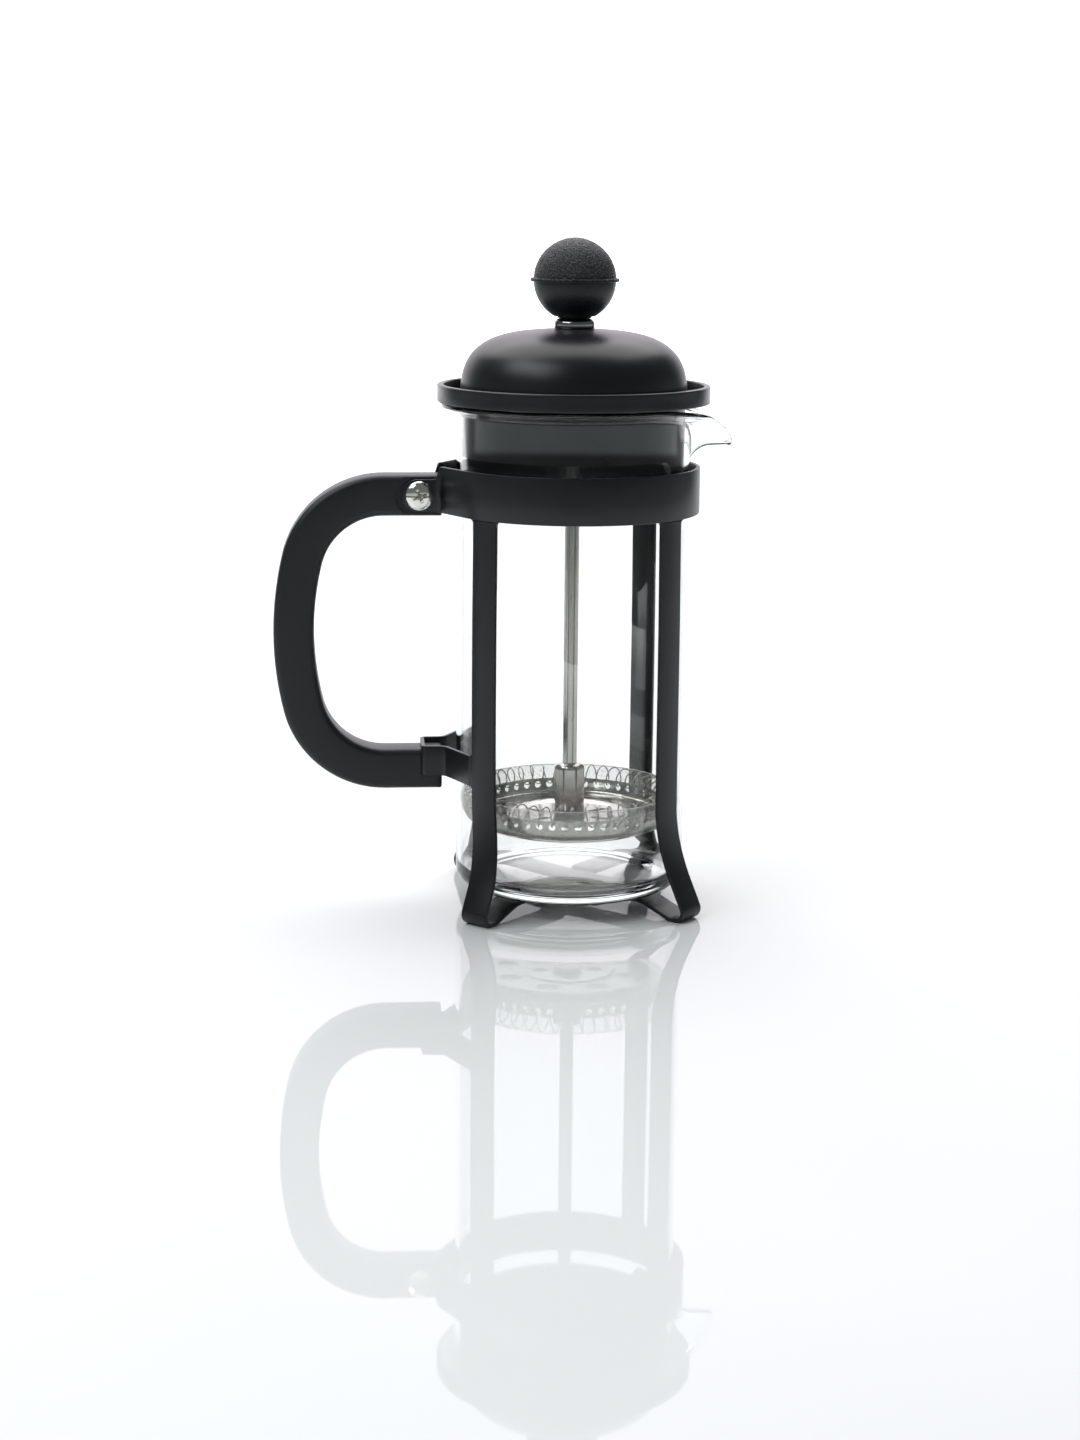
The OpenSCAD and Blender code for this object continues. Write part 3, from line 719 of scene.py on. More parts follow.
def build_bracket():
    """Outer face in plan: off the back left leg, round the handle's end and on to the front left leg."""
    yy = HT / 2 + 0.05 + ST
    e = LW / 2 - 0.5
    start, end = leg_pt(LEG_BL, BR - 0.01, e), leg_pt(LEG_FL, BR - 0.01, -e)
    s1, e1 = leg_pt(LEG_BL, BR, e + 1.6), leg_pt(LEG_FL, BR, -e - 1.6)
    h = fillet([start, s1, (-38.95, yy + 0.3), (-45.9, yy), (-45.9, -yy), (-38.95, -yy - 0.3), e1, end],
               [0, 2.6, 2.2, 1.6, 1.6, 2.2, 2.6, 0], 7, closed=False)
    pts = [h[0]]
    for q in h[1:]:
        d = math.dist(pts[-1], q)
        if d < 0.05:
            continue
        k = max(1, int(d / 1.2))
        p0 = pts[-1]
        for j in range(1, k + 1):
            pts.append((p0[0] + (q[0] - p0[0]) * j / k, p0[1] + (q[1] - p0[1]) * j / k))
    P = np.array(pts)
    T = np.gradient(P, axis=0)
    T /= np.linalg.norm(T, axis=1)[:, None]
    N = np.c_[T[:, 1], -T[:, 0]]
    rings = []
    s = np.r_[0, np.cumsum(np.linalg.norm(np.diff(P, axis=0), axis=1))]
    for i in range(len(P)):
        d = max(0.0, min(s[i], s[-1] - s[i]) - 0.5)
        hgt = 9.2
        if d < 1.1:  # fillets into the legs
            hgt += 2 * (1.1 - math.sqrt(max(0.0, 1.1 ** 2 - (1.1 - d) ** 2)))
        sec = rounded_rect(ST, hgt, 0.24, 2)
        ring = []
        for a, bb in sec:
            q = P[i] + N[i] * (a - ST / 2)
            ring.append((q[0], q[1], 44.6 + bb))
        rings.append(ring)
    v, f = loft(rings)
    return finish_mesh("handle_bracket_strip", v, f, "frame", ["handle_bracket"], PAINT, sharp=40)


build_bracket()


# --------------------------------------------------------------------------- handle
def build_handle():
    bow = 100.0
    zc = (HZ0 + HZ1) / 2
    cz = HZ1 - HC
    cx = -HX + bow - math.sqrt((bow - HC) ** 2 - (cz - zc) ** 2)
    ba = math.asin((cz - zc) / (bow - HC))
    end = -39.6
    mr, mb = HC - HW / 2, bow - HW / 2
    line = []
    for t in np.linspace(0, 1, 9):
        line.append((end + (cx - end) * t, cz + mr, PI / 2))
    for i in range(1, 25):
        a = PI / 2 + (PI / 2 - ba) * i / 24
        line.append((cx + mr * math.cos(a), cz + mr * math.sin(a), a))
    for i in range(1, 25):
        a = PI - ba + 2 * ba * i / 24
        line.append((bow - HX + mb * math.cos(a), zc + mb * math.sin(a), a))
    for i in range(1, 25):
        a = PI + ba + (PI / 2 - ba) * i / 24
        line.append((cx + mr * math.cos(a), 2 * zc - cz + mr * math.sin(a), a))
    for t in np.linspace(0, 1, 9)[1:]:
        line.append((cx + (end - cx) * t, 2 * zc - cz - mr, 3 * PI / 2))
    rings = []
    n = len(line)
    for i, (x, z, a) in enumerate(line):
        # rounded ends
        e = 1.0
        first = i == 0 or i == n - 1
        sec = rounded_rect(HW - (0.9 if first else 0), HT - (0.9 if first else 0), 2.0, 5)
        if i == 0 or i == n - 1:
            ring = [(x + p * math.cos(a), q, z + p * math.sin(a)) for p, q in sec]
            rings.append(ring)
            continue
        ring = [(x + p * math.cos(a), q, z + p * math.sin(a)) for p, q in sec]
        rings.append(ring)
    # extra rings just inside the ends so that the ends are softly rounded
    def near_end(x, z, a, inset, shrink):
        sec = rounded_rect(HW - shrink, HT - shrink, 2.0, 5)
        return [(x - inset + p * math.cos(a), q, z + p * math.sin(a)) for p, q in sec]
    x, z, a = line[0]
    rings[1:1] = [near_end(x, z, a, 0.13, 0.35), near_end(x, z, a, 0.45, 0.0)]
    x, z, a = line[-1]
    rings[-1:-1] = [near_end(x, z, a, 0.45, 0.0), near_end(x, z, a, 0.13, 0.35)]
    v, f = loft(rings)
    ob = finish_mesh("d_handle", v, f, "frame", ["handle"], HANDLE, sharp=38)
    cutters = []
    for s in (-1, 1):
        outl = []
        for k in range(25):
            t = PI / 2 + PI * k / 24
            outl.append((-SCX - 0.6 + 6.7 * math.cos(t), SCZ + 6.7 * math.sin(t)))
        outl = [(-SCX + 20, SCZ + 9.0), (-SCX - 0.6, SCZ + 9.0)] + [(q[0], q[1]) for q in outl if abs(q[1] - SCZ) <= 6.6] + [(-SCX - 0.6, SCZ - 9.0), (-SCX + 20, SCZ - 9.0)]
        y0, y1 = s * (HT / 2 - 0.7), s * (HT / 2 + 3)
        r1 = [(p[0], y0, p[1]) for p in outl]
        r2 = [(p[0], y1, p[1]) for p in outl]
        cutters.append(cutter("recess_cut", *loft([r1, r2])))
    cutters.append(cutter("slot_cut", *box_data(-45.98, -44.5, -10, 10, 39.93, 60)))
    v, f = lathe_data([(0, -10), (2.1, -10), (2.1, 10), (0, 10)], 40)
    mat = Matrix.Translation((-SCX, 0, SCZ)) @ Matrix.Rotation(PI / 2, 4, "X")
    cutters.append(cutter("bore_cut", *place((v, f), mat)))
    cut(ob, cutters, sharp=38)
    return ob


build_handle()


def build_screw():
    hy = TAB_Y + ST + 0.02
    prof = [(0, -hy - 2.6), (1.7, -hy - 2.6), (2.0, -hy - 2.3), (2.0, hy - 0.02), (2.1, hy), (4.15, hy), (4.35, hy + 0.25)]
    for k in range(1, 13):
        t = k / 12
        r = 4.35 * math.cos(t * PI / 2)
        prof.append((max(r, 0.0), hy + 0.25 + 2.0 * math.sin(t * PI / 2) ** 0.9))
    prof[-1] = (0, prof[-1][1])
    v, f = lathe_data(prof, 72)
    M = Matrix.Translation((-SCX, 0, SCZ)) @ Matrix.Rotation(PI / 2, 4, "X")
    v, f = place((v, f), M)
    ob = finish_mesh("handle_screw_phillips", v, f, "frame", ["handle_screw"], NICKEL, sharp=40)
    top = hy + 2.3
    cs = []
    for a in (math.radians(24), math.radians(114)):
        r = []
        for z, L, W in ((top + 0.6, 2.55, 0.62), (top - 0.55, 2.05, 0.50), (top - 1.9, 0.75, 0.34)):
            r.append([(L, W, z), (-L, W, z), (-L, -W, z), (L, -W, z)])
        d = loft(r)
        cs.append(cutter("cross_cut", *place(d, M @ Matrix.Rotation(a, 4, "Z"))))
    # small cone in the middle of the recess
    cone = lathe_data([(0, top + 0.6), (1.25, top + 0.6), (0.75, top - 1.2), (0, top - 2.1)], 16)
    cs.append(cutter("cone_cut", *place(cone, M)))
    cut(ob, cs, sharp=30)
    return ob


build_screw()


def hex_nut(name, node, af, h, bore, M, body, mat):
    """Hexagon nut with chamfered corners, af across flats."""
    R = af / math.sqrt(3)
    n = 72
    verts, faces = [], []
    rows = []
    for z, inner in ((0, bore + 0.25), (0, None), (0.0, "c0"), (0.35, "hex0"), (h - 0.35, "hex1"), (h, "c1"), (h, bore + 0.25), (h - 0.3, bore), (0.3, bore)):
        row = []
        for k in range(n):
            a = 2 * PI * k / n
            seg = (a + PI / 6) % (PI / 3) - PI / 6
            hexr = (af / 2) / math.cos(seg)
            if inner is None:
                r = bore + 0.25 + 0.3 * (af / 2 - bore - 0.25)
            elif inner in ("c0", "c1"):
                r = min(hexr, af / 2 - 0.05)
            elif inner in ("hex0", "hex1"):
                r = min(hexr, R - 0.12)
            else:
                r = inner
            row.append(len(verts))
            verts.append((r * math.cos(a), r * math.sin(a), z))
        rows.append(row)
    m = len(rows)
    for i in range(m):
        A, B = rows[i], rows[(i + 1) % m]
        for k in range(n):
            l = (k + 1) % n
            faces.append((A[k], A[l], B[l], B[k]))
    v, f = place((verts, faces), M)
    return finish_mesh(name, v, f, body, [node], mat, sharp=25)


hex_nut("handle_screw_nut", "handle_nut", 7.0, 2.4, 2.02,
        Matrix.Translation((-SCX, TAB_Y + ST + 0.02, SCZ)) @ Matrix.Rotation(-PI / 2, 4, "X"), "frame", NICKEL)

# --------------------------------------------------------------------------- lid
DOME_PTS = [(33.95, 155.0), (33.95, 157.2), (33.75, 159.2), (33.3, 161.6), (32.6, 163.7), (31.55, 165.8), (30.2, 167.6),
            (28.4, 169.25), (26.2, 170.7), (23.6, 171.9), (20.3, 172.9), (16.3, 173.65), (12.0, 174.1), (8.0, 174.4), (5.6, 174.48)]


def build_dome():
    outer = spline([(33.95, FZ + 1.92)] + DOME_PTS, 5)
    outer += [(4.0, 174.5), (3.75, 174.4)]
    O = np.array(outer)
    T = np.gradient(O, axis=0)
    T /= np.linalg.norm(T, axis=1)[:, None]
    inner = O - np.c_[T[:, 1], -T[:, 0]] * 1.1
    inner = [(max(3.75, q[0]), q[1]) for q in inner[::-1]]
    inner = [q for q in inner if q[1] > FZ + 2.0]
    prof = [(33.6, FZ + 1.92)] + outer[0:] + inner + [(32.85, FZ + 2.0), (33.0, FZ + 1.92)]
    clean = [prof[0]]
    for q in prof[1:]:
        if math.dist(q, clean[-1]) > 0.02:
            clean.append(q)
    return lathe("lid_dome_shell", clean, "lid", ["lid_dome"], DOME, n=192, sharp=40)


build_dome()


def build_insert():
    SR = 33.45
    f0, f1 = FZ, FZ + 1.9
    prof = [(3.7, f0 - 0.8), (7.7, f0 - 0.8), (7.7, f0), (SR - 1.9, f0), (SR - 1.9, 132.6), (SR - 0.55, 132.6), (SR, 133.3), (SR, f0),
            (40.9, f0), (40.9, f0 + 5.2), (39.0, f0 + 5.2), (39.0, f1), (34.6, f1), (dome_lip := 34.05, f1), (32.7, f1), (32.7, f0 + 4.6),
            (30.8, f0 + 4.6), (30.8, f1), (3.7, f1)]
    rad = [0.1, 0.4, 0.2, 0.6, 0.2, 0.3, 0.3, 0.5, 0.35, 0.45, 0.35, 0.5, 0.2, 0.0, 0.2, 0.3, 0.3, 0.3, 0.1]
    prof = fillet(prof, rad, 4)
    v, f = lathe_data(prof, 216)
    ob = finish_mesh("lid_flange_and_skirt", v, f, "lid", ["lid_insert"], INSERT, sharp=40)
    # below the main skirt only the tongue on the spout side stays, with soft shoulders
    n = 216
    rows = []
    for r, w in ((28.0, 0), (36.0, 0), (36.0, 1), (28.0, 1)):
        row = []
        for k in range(n):
            a = (360.0 * k / n + 180) % 360 - 180
            t = max(0.0, min(1.0, (abs(a) - 31) / 11.5))
            t = t * t * (3 - 2 * t)
            zt = 131.4 + (137.0 - 131.4) * t
            ar = math.radians(a)
            row.append((r * math.cos(ar), r * math.sin(ar), 127.0 if w == 0 else zt))
        rows.append(row)
    # rings around: four corners of a closed ring solid
    verts, faces = [], []
    for row in rows:
        verts += row
    for i in range(4):
        A, B = i * n, ((i + 1) % 4) * n
        for k in range(n):
            l = (k + 1) % n
            faces.append((A + k, A + l, B + l, B + k))
    cs = [cutter("skirt_cut", verts, faces)]
    for k in range(7):
        a = math.radians((k - 3) * 5.6)
        sl = rounded_rect(1.5, 7.2, 0.7, 4)
        r1 = [(29.5, p, FZ - 6.4 + q) for p, q in sl]
        r2 = [(36.5, p, FZ - 6.4 + q) for p, q in sl]
        cs.append(cutter("pour_slot", *place(loft([r1, r2]), Matrix.Rotation(a, 4, "Z"))))
    cut(ob, cs, sharp=40)
    return ob


build_insert()

# ferrule: a bulged ring with a narrower collar above it
FZ1 = 177.6
fer = [(2.22, 147.0), (3.35, 147.0), (3.65, 147.3), (3.65, 174.3), (5.5, 174.52), (5.85, 174.6), (6.04, 174.85)]
fer += spline([(6.1, 175.2), (6.12, 175.7), (6.06, 176.25), (5.88, 176.75), (5.55, 177.15), (5.1, 177.42), (4.6, 177.55)], 4)
fer += [(2.5, 177.6), (2.22, 177.4)]
lathe("lid_ferrule_ring", fer, "lid_core", ["lid_ferrule"], CHROME, n=96, sharp=30)
hex_nut("lid_clamp_nut", "lid_lock_nut", 11.0, FZ - 0.82 - 147.6, 3.66, Matrix.Translation((0, 0, 147.6)), "lid_core", NUT)


# --------------------------------------------------------------------------- knob
def hash_noise(P, seed):
    """Smooth seeded value noise on points, one value per point in 0..1."""
    i = np.floor(P).astype(np.int64)
    f = P - i
    f = f * f * (3 - 2 * f)

    def h(ix, iy, iz):
        n = (ix * 374761393 + iy * 668265263 + iz * 2147483647 + seed * 974711) & 0xFFFFFFFF
        n = ((n ^ (n >> 13)) * 1274126177) & 0xFFFFFFFF
        n = ((n ^ (n >> 16)) * 2246822519) & 0xFFFFFFFF
        return ((n ^ (n >> 15)) & 0xFFFFFF) / float(0xFFFFFF)

    out = 0
    for dx in (0, 1):
        for dy in (0, 1):
            for dz in (0, 1):
                w = (f[:, 0] if dx else 1 - f[:, 0]) * (f[:, 1] if dy else 1 - f[:, 1]) * (f[:, 2] if dz else 1 - f[:, 2])
                out = out + w * h(i[:, 0] + dx, i[:, 1] + dy, i[:, 2] + dz)
    return out


def grain(ob, amp, pitch, zlo, zhi, seed):
    """Moulded-in grain: moves the outer skin of the ball in and out a little."""
    me = ob.data
    n = len(me.vertices)
    co = np.empty(n * 3)
    me.vertices.foreach_get("co", co)
    P = co.reshape(-1, 3) / MM
    c = P - np.array((0, 0, KZ))
    r = np.linalg.norm(c, axis=1)
    m = (np.abs(r - KR) < 0.06) & (P[:, 2] > zlo) & (P[:, 2] < zhi)
    d = hash_noise(P[m] / pitch + 50, seed) * 0.65 + hash_noise(P[m] / (pitch * 0.5) + 90, seed + 1) * 0.35 - 0.5
    P[m] += (c[m] / r[m][:, None]) * (2 * amp * d)[:, None]
    me.vertices.foreach_set("co", (P * MM).ravel())
    me.update()


RG = KR + 0.95


def build_knob():
    k = 56
    hi = [(0.0, KZ + KR)] + [(KR * math.cos(PI / 2 - (PI / 2 - 0.05) * i / k), KZ + KR * math.sin(PI / 2 - (PI / 2 - 0.05) * i / k)) for i in range(1, k + 1)]
    hi += [(KR + 0.12, KZ + 0.52), (RG - 0.2, KZ + 0.5), (RG - 0.04, KZ + 0.4), (RG, KZ + 0.26), (RG, KZ + 0.06), (RG - 0.08, KZ + 0.02), (11.0, KZ + 0.02)]
    ri = KR - 2.4
    hi += [(ri, KZ + 0.02), (ri - 0.02, KZ + 0.02), (KR - 2.5, KZ + 0.02)]
    # spigot that enters the lower half
    hi += [(KR - 2.5, KZ - 3.0), (KR - 4.4, KZ - 3.0), (KR - 4.4, KZ + 1.2)]
    hi += [(math.sqrt(max(0, (KR - 4.4) ** 2 * (1 - (t / 8) ** 2))), KZ + 1.2 + (KR - 5.2) * (t / 8)) for t in range(1, 9)]
    hi[-1] = (0.0, hi[-1][1])
    clean = [hi[0]]
    for q in hi[1:]:
        if math.dist(q, clean[-1]) > 0.015:
            clean.append(q)
    up = lathe("knob_cap", clean, "plunger", ["knob_upper_half"], KNOB_HI, n=288, sharp=45)
    grain(up, 0.10, 0.46, KZ + 0.7, KZ + 20, 11)
    zn = FZ1 + 0.05
    low = [(2.3, zn), (4.75, zn), (5.02, zn + 0.12), (5.1, zn + 0.3)]
    # short neck, then a tight crease up into the ball
    zb = zn + 0.62
    a_end = math.asin((zb - KZ) / KR)
    rn = KR * math.cos(a_end)
    low += [(5.12, zn + 0.42), (5.2, zn + 0.52), (5.4, zn + 0.58), (rn - 0.2, zb - 0.03), (rn, zb)]
    for i in range(1, 40):
        a = a_end + (-0.05 - a_end) * i / 39
        low.append((KR * math.cos(a), KZ + KR * math.sin(a)))
    low += [(KR + 0.12, KZ - 0.52), (RG - 0.2, KZ - 0.5), (RG - 0.04, KZ - 0.4), (RG, KZ - 0.26), (RG, KZ - 0.06), (RG - 0.08, KZ), (11.0, KZ),
            (KR - 2.4, KZ), (KR - 2.4, KZ - 4.5), (5.5, KZ - 4.5), (3.4, KZ - 4.6), (3.4, zn + 1.95), (2.3, zn + 1.9)]
    lo = lathe("knob_base", low, "plunger", ["knob_lower_half"], KNOB_LO, n=224, sharp=40)
    grain(lo, 0.035, 0.44, zn + 0.9, KZ - 0.7, 23)


build_knob()
lathe("knob_brass_insert", [(2.15, FZ1 + 2.02), (3.2, FZ1 + 2.02), (3.38, FZ1 + 2.2), (3.38, KZ - 4.48), (5.2, KZ - 4.48), (5.4, KZ - 4.3), (5.4, KZ - 3.06), (5.2, KZ - 2.88), (2.15, KZ - 2.88)],
      "plunger", ["knob_thread_insert"], BRASS, n=48)

# --------------------------------------------------------------------------- rod and filter
lathe("steel_rod", [(0, 34.6), (1.75, 34.6), (2.15, 35.2), (2.15, KZ - 2), (1.75, KZ - 1.6), (0, KZ - 1.6)], "plunger", ["plunger_rod"], ROD, n=56)
sl = [(2.62, 25.85), (4.35, 25.85), (4.6, 26.1), (4.6, 40.4)]
sl += [(4.6 - 1.55 * (1 - math.cos(math.radians(t))), 40.4 + 1.75 * math.sin(math.radians(t))) for t in (15, 30, 45, 60, 75, 88)]
sl += [(2.75, 42.28), (2.45, 42.3), (2.17, 42.15), (2.17, 34.0), (2.62, 34.0)]
lathe("rod_sleeve", sl, "plunger", ["rod_end_sleeve"], SLEEVE, n=72, sharp=30)

HOLE_Z, HOLE_R, RIM_TOP, PAN_Z = 28.7, 1.05, 30.7, 25.15


def build_spring_plate():
    """Pressed pan: rippled floor, rolled corner and an upright rim with a ring of holes, all one closed skin."""
    ro, ri = 29.8, 29.2
    n = TURNS
    sub = 8                      # points along each side of a sector patch
    zl, zh = 26.6, 30.1          # the holed band of the rim
    verts, faces = [], []

    def ring_pts(r, z):
        """Points round the axis at the same angles as the patches' lower and upper edges."""
        idx = []
        for s in range(n):
            for k in range(sub):
                a = 2 * PI * (s - 0.5 + k / sub) / n
                idx.append(len(verts))
                verts.append((r * math.cos(a), r * math.sin(a), z))
        return idx

    def join(A, B):
        m = len(A)
        for k in range(m):
            l = (k + 1) % m
            faces.append((A[k], A[l], B[l], B[k]))

    def patch_wall(r, L, H, flip):
        """The rim at radius r between edge rings L and H with one hole a sector; returns the hole rings."""
        holes = []
        side = {}
        zs = [zl + (zh - zl) * t for t in (0.25, 0.5, 0.75)]
        for s in range(n):
            a = 2 * PI * (s - 0.5) / n
            col = []
            for z in zs:
                col.append(len(verts))
                verts.append((r * math.cos(a), r * math.sin(a), z))
            side[s] = col
        for s in range(n):
            t = (s + 1) % n
            bottom = [L[s * sub + k] for k in range(sub)] + [L[t * sub]]
            top = [H[s * sub + k] for k in range(sub)] + [H[t * sub]]
            loop = bottom + side[t] + top[::-1] + side[s][::-1]
            m = len(loop)
            ca = 2 * PI * s / n
            ring = []
            for j in loop:
                x, y, z = verts[j]
                da = (math.atan2(y, x) - ca + PI) % (2 * PI) - PI
                u, w = da * r, z - HOLE_Z
                d = math.hypot(u, w)
                u, w = u / d * HOLE_R, w / d * HOLE_R
                a = ca + u / r
                ring.append(len(verts))
                verts.append((r * math.cos(a), r * math.sin(a), HOLE_Z + w))
            for k in range(m):
                l = (k + 1) % m
                q = (loop[k], loop[l], ring[l], ring[k])
                faces.append(q if not flip else q[::-1])
            holes.append(ring)
        return holes

    # outer skin, from the hub hole outward and up
    floor_out = [(2.7, PAN_Z), (8, PAN_Z), (15.5, PAN_Z), (16.6, PAN_Z + 0.35), (17.6, PAN_Z + 0.8), (19.0, PAN_Z + 0.8), (20.2, PAN_Z + 0.35), (21.3, PAN_Z), (26.2, PAN_Z), (28.2, PAN_Z + 0.06), (29.2, PAN_Z + 0.4), (29.7, PAN_Z + 0.95)]
    rows = [ring_pts(r, z) for r, z in floor_out]
    for A, B in zip(rows, rows[1:]):
        join(A, B)
    Lo = ring_pts(ro, zl)
    join(rows[-1], Lo)
    Ho = ring_pts(ro, zh)
    ho = patch_wall(ro, Lo, Ho, False)
    lip = [ring_pts(r, z) for r, z in ((ro, RIM_TOP - 0.25), (ro - 0.1, RIM_TOP - 0.06), (ro - 0.3, RIM_TOP), (ri + 0.1, RIM_TOP - 0.06), (ri, RIM_TOP - 0.25))]
    join(Ho, lip[0])
    for A, B in zip(lip, lip[1:]):
        join(A, B)
    Hi = ring_pts(ri, zh)
    join(lip[-1], Hi)
    Li = ring_pts(ri, zl)
    hi = patch_wall(ri, Li, Hi, True)
    th = 0.6
    floor_in = [(29.15, PAN_Z + 1.3), (28.75, PAN_Z + 0.85), (28.0, PAN_Z + 0.64), (26.2, PAN_Z + th), (21.4, PAN_Z + th), (20.3, PAN_Z + th + 0.35), (19.05, PAN_Z + th + 0.8), (17.5, PAN_Z + th + 0.8), (16.4, PAN_Z + th + 0.35), (15.3, PAN_Z + th), (8, PAN_Z + th), (2.7, PAN_Z + th)]
    rin = [ring_pts(r, z) for r, z in floor_in]
    join(Li, rin[0])
    for A, B in zip(rin, rin[1:]):
        join(A, B)
    join(rin[-1], rows[0])
    for A, B in zip(ho, hi):
        m = len(A)
        for k in range(m):
            l = (k + 1) % m
            faces.append((A[l], A[k], B[k], B[l]))
    ob = finish_mesh("filter_spring_plate", verts, faces, "plunger", ["spring_plate"], PLATE, sharp=40)
    cs = []
    for k in range(6):
        a = math.radians(60 * k + 30)
        sec = rounded_rect(6.4, 2.1, 1.0, 6)
        r1 = [(10.6 + p, q, 23) for p, q in sec]
        r2 = [(10.6 + p, q, 28) for p, q in sec]
        cs.append(cutter("plate_slot", *place(loft([r1, r2]), Matrix.Rotation(a, 4, "Z"))))
    for k in range(8):
        a = math.radians(45 * k + 10)
        sec = rounded_rect(1.7, 4.6, 0.8, 6)
        r1 = [(23.8 + p, q, 23) for p, q in sec]
        r2 = [(23.8 + p, q, 28) for p, q in sec]
        cs.append(cutter("plate_slot", *place(loft([r1, r2]), Matrix.Rotation(a, 4, "Z"))))
    cut(ob, cs, sharp=40)
    return ob


build_spring_plate()


def build_edge_spring():
    per = 26
    n = TURNS * per
    path = []
    for i in range(n):
        a = 2 * PI * i / n
        b = 2 * PI * TURNS * i / n - PI / 2
        r = 29.75 + 3.0 * math.cos(b)
        # a little unevenness from one turn to the next, as in a wound spring
        j = 0.10 * math.sin(5 * a) + 0.07 * math.sin(11 * a + 1.3)
        path.append((r * math.cos(a + 0.004 * math.sin(7 * a)), r * math.sin(a + 0.004 * math.sin(7 * a)), 31.9 + (3.0 + 0.5 * j) * math.sin(b) + 0.12 * j))
    v, f = tube(path, 0.21, 8, closed=True)
    return finish_mesh("edge_coil_spring", v, f, "plunger", ["edge_spring"], WIRE, sharp=None)


build_edge_spring()

SIDE = [(29.7, 24.98), (30.65, 25.38), (31.78, 26.72), (32.62, 28.65), (33.22, 31.2), (33.25, 32.6), (32.75, 34.35)]


def build_mesh_screen():
    """Woven screen: two families of bias wires over the turned-up edge, a bound free edge, and the disc below the plate."""
    S = np.array(spline(SIDE, 10))
    L = np.r_[0, np.cumsum(np.linalg.norm(np.diff(S, axis=0), axis=1))]
    T = np.gradient(S, axis=0)
    T /= np.linalg.norm(T, axis=1)[:, None]
    N = np.c_[T[:, 1], -T[:, 0]]
    total = L[-1]
    count = 250
    wire = 0.115
    pitch = 2 * PI * 31.5 / count
    steps = int(total / (pitch / 2)) * 2
    parts = []

    def surf(a, s, off):
        r = np.interp(s, L, S[:, 0])
        z = np.interp(s, L, S[:, 1])
        nr = np.interp(s, L, N[:, 0])
        nz = np.interp(s, L, N[:, 1])
        # the springs behind it push the screen into soft waves
        wave = 0.16 * math.cos(TURNS * a) * max(0.0, min(1.0, (s - 2.2) / 3.0))
        return ((r + (off + wave) * nr) * math.cos(a), (r + (off + wave) * nr) * math.sin(a), z + off * nz)

    for fam in (1, -1):
        for i in range(count):
            a0 = 2 * PI * i / count
            pts = []
            for k in range(steps + 1):
                s = total * k / steps
                a = a0 + fam * s / 31.5
                # crossings come every half pitch along s
                ph = PI * (k + i) + (0 if fam > 0 else PI)
                off = wire * 0.52 * math.cos(ph) if fam > 0 else -wire * 0.52 * math.cos(PI * (k + i + 0))
                pts.append(surf(a, s, off))
            parts.append(tube(pts, wire / 2, 4))
    v, f = merge(parts)
    # hem of the free edge
    hem = []
    for k in range(360):
        a = 2 * PI * k / 360
        hem.append(surf(a, total, 0.0))
    hv, hf = tube(hem, 0.14, 8, closed=True)
    v, f = merge([(v, f), (hv, hf)])
    # flat disc of the screen between the two plates
    disc = [(2.7, 24.88), (15, 24.88), (26, 24.88), (29.7, 24.9), (30.0, 25.0), (29.7, 25.09), (26, 25.1), (15, 25.1), (2.7, 25.1)]
    dv, df = lathe_data(disc, 120)
    v, f = merge([(v, f), (dv, df)])
    return finish_mesh("woven_mesh_screen", v, f, "plunger", ["mesh_screen"], MESHM, sharp=50)


build_mesh_screen()


def build_cross_plate():
    p = [(2.65, 24.1), (12, 24.1), (13, 23.8), (14, 23.8), (15, 24.1), (25.2, 24.1), (26.1, 23.9), (26.45, 23.55), (26.8, 23.5), (27.0, 23.75), (27.0, 24.3), (26.7, 24.72), (26.2, 24.82),
         (15, 24.82), (14, 24.5), (13, 24.5), (12, 24.82), (2.65, 24.82)]
    v, f = lathe_data(fillet(p, [0.1] + [0.6] * 4 + [0.5] * 8 + [0.6] * 4 + [0.1], 3), 144)
    ob = finish_mesh("filter_cross_plate", v, f, "plunger", ["cross_plate"], PLATE, sharp=40)
    cs = []
    for k in range(8):
        a = math.radians(45 * k + 22.5)
        c = lathe_data([(0, 20), (3.5, 20), (3.5, 30), (0, 30)], 40)
        cs.append(cutter("cross_hole", *place(c, Matrix.Rotation(a, 4, "Z") @ Matrix.Translation((19.6, 0, 0)))))
    for k in range(4):
        a = math.radians(90 * k)
        c = lathe_data([(0, 20), (2.2, 20), (2.2, 30), (0, 30)], 32)
        cs.append(cutter("cross_hole", *place(c, Matrix.Rotation(a, 4, "Z") @ Matrix.Translation((8.6, 0, 0)))))
    cut(ob, cs, sharp=40)
    return ob


build_cross_plate()
lathe("cross_plate_boss", fillet([(0, 23.0), (4.4, 23.0), (4.4, 24.08), (2.6, 24.08), (2.6, 33.5), (0, 33.5)], [0, 0.35, 0.1, 0.05, 0.3, 0], 3),
      "plunger", ["cross_plate_stud"], SLEEVE, n=56)


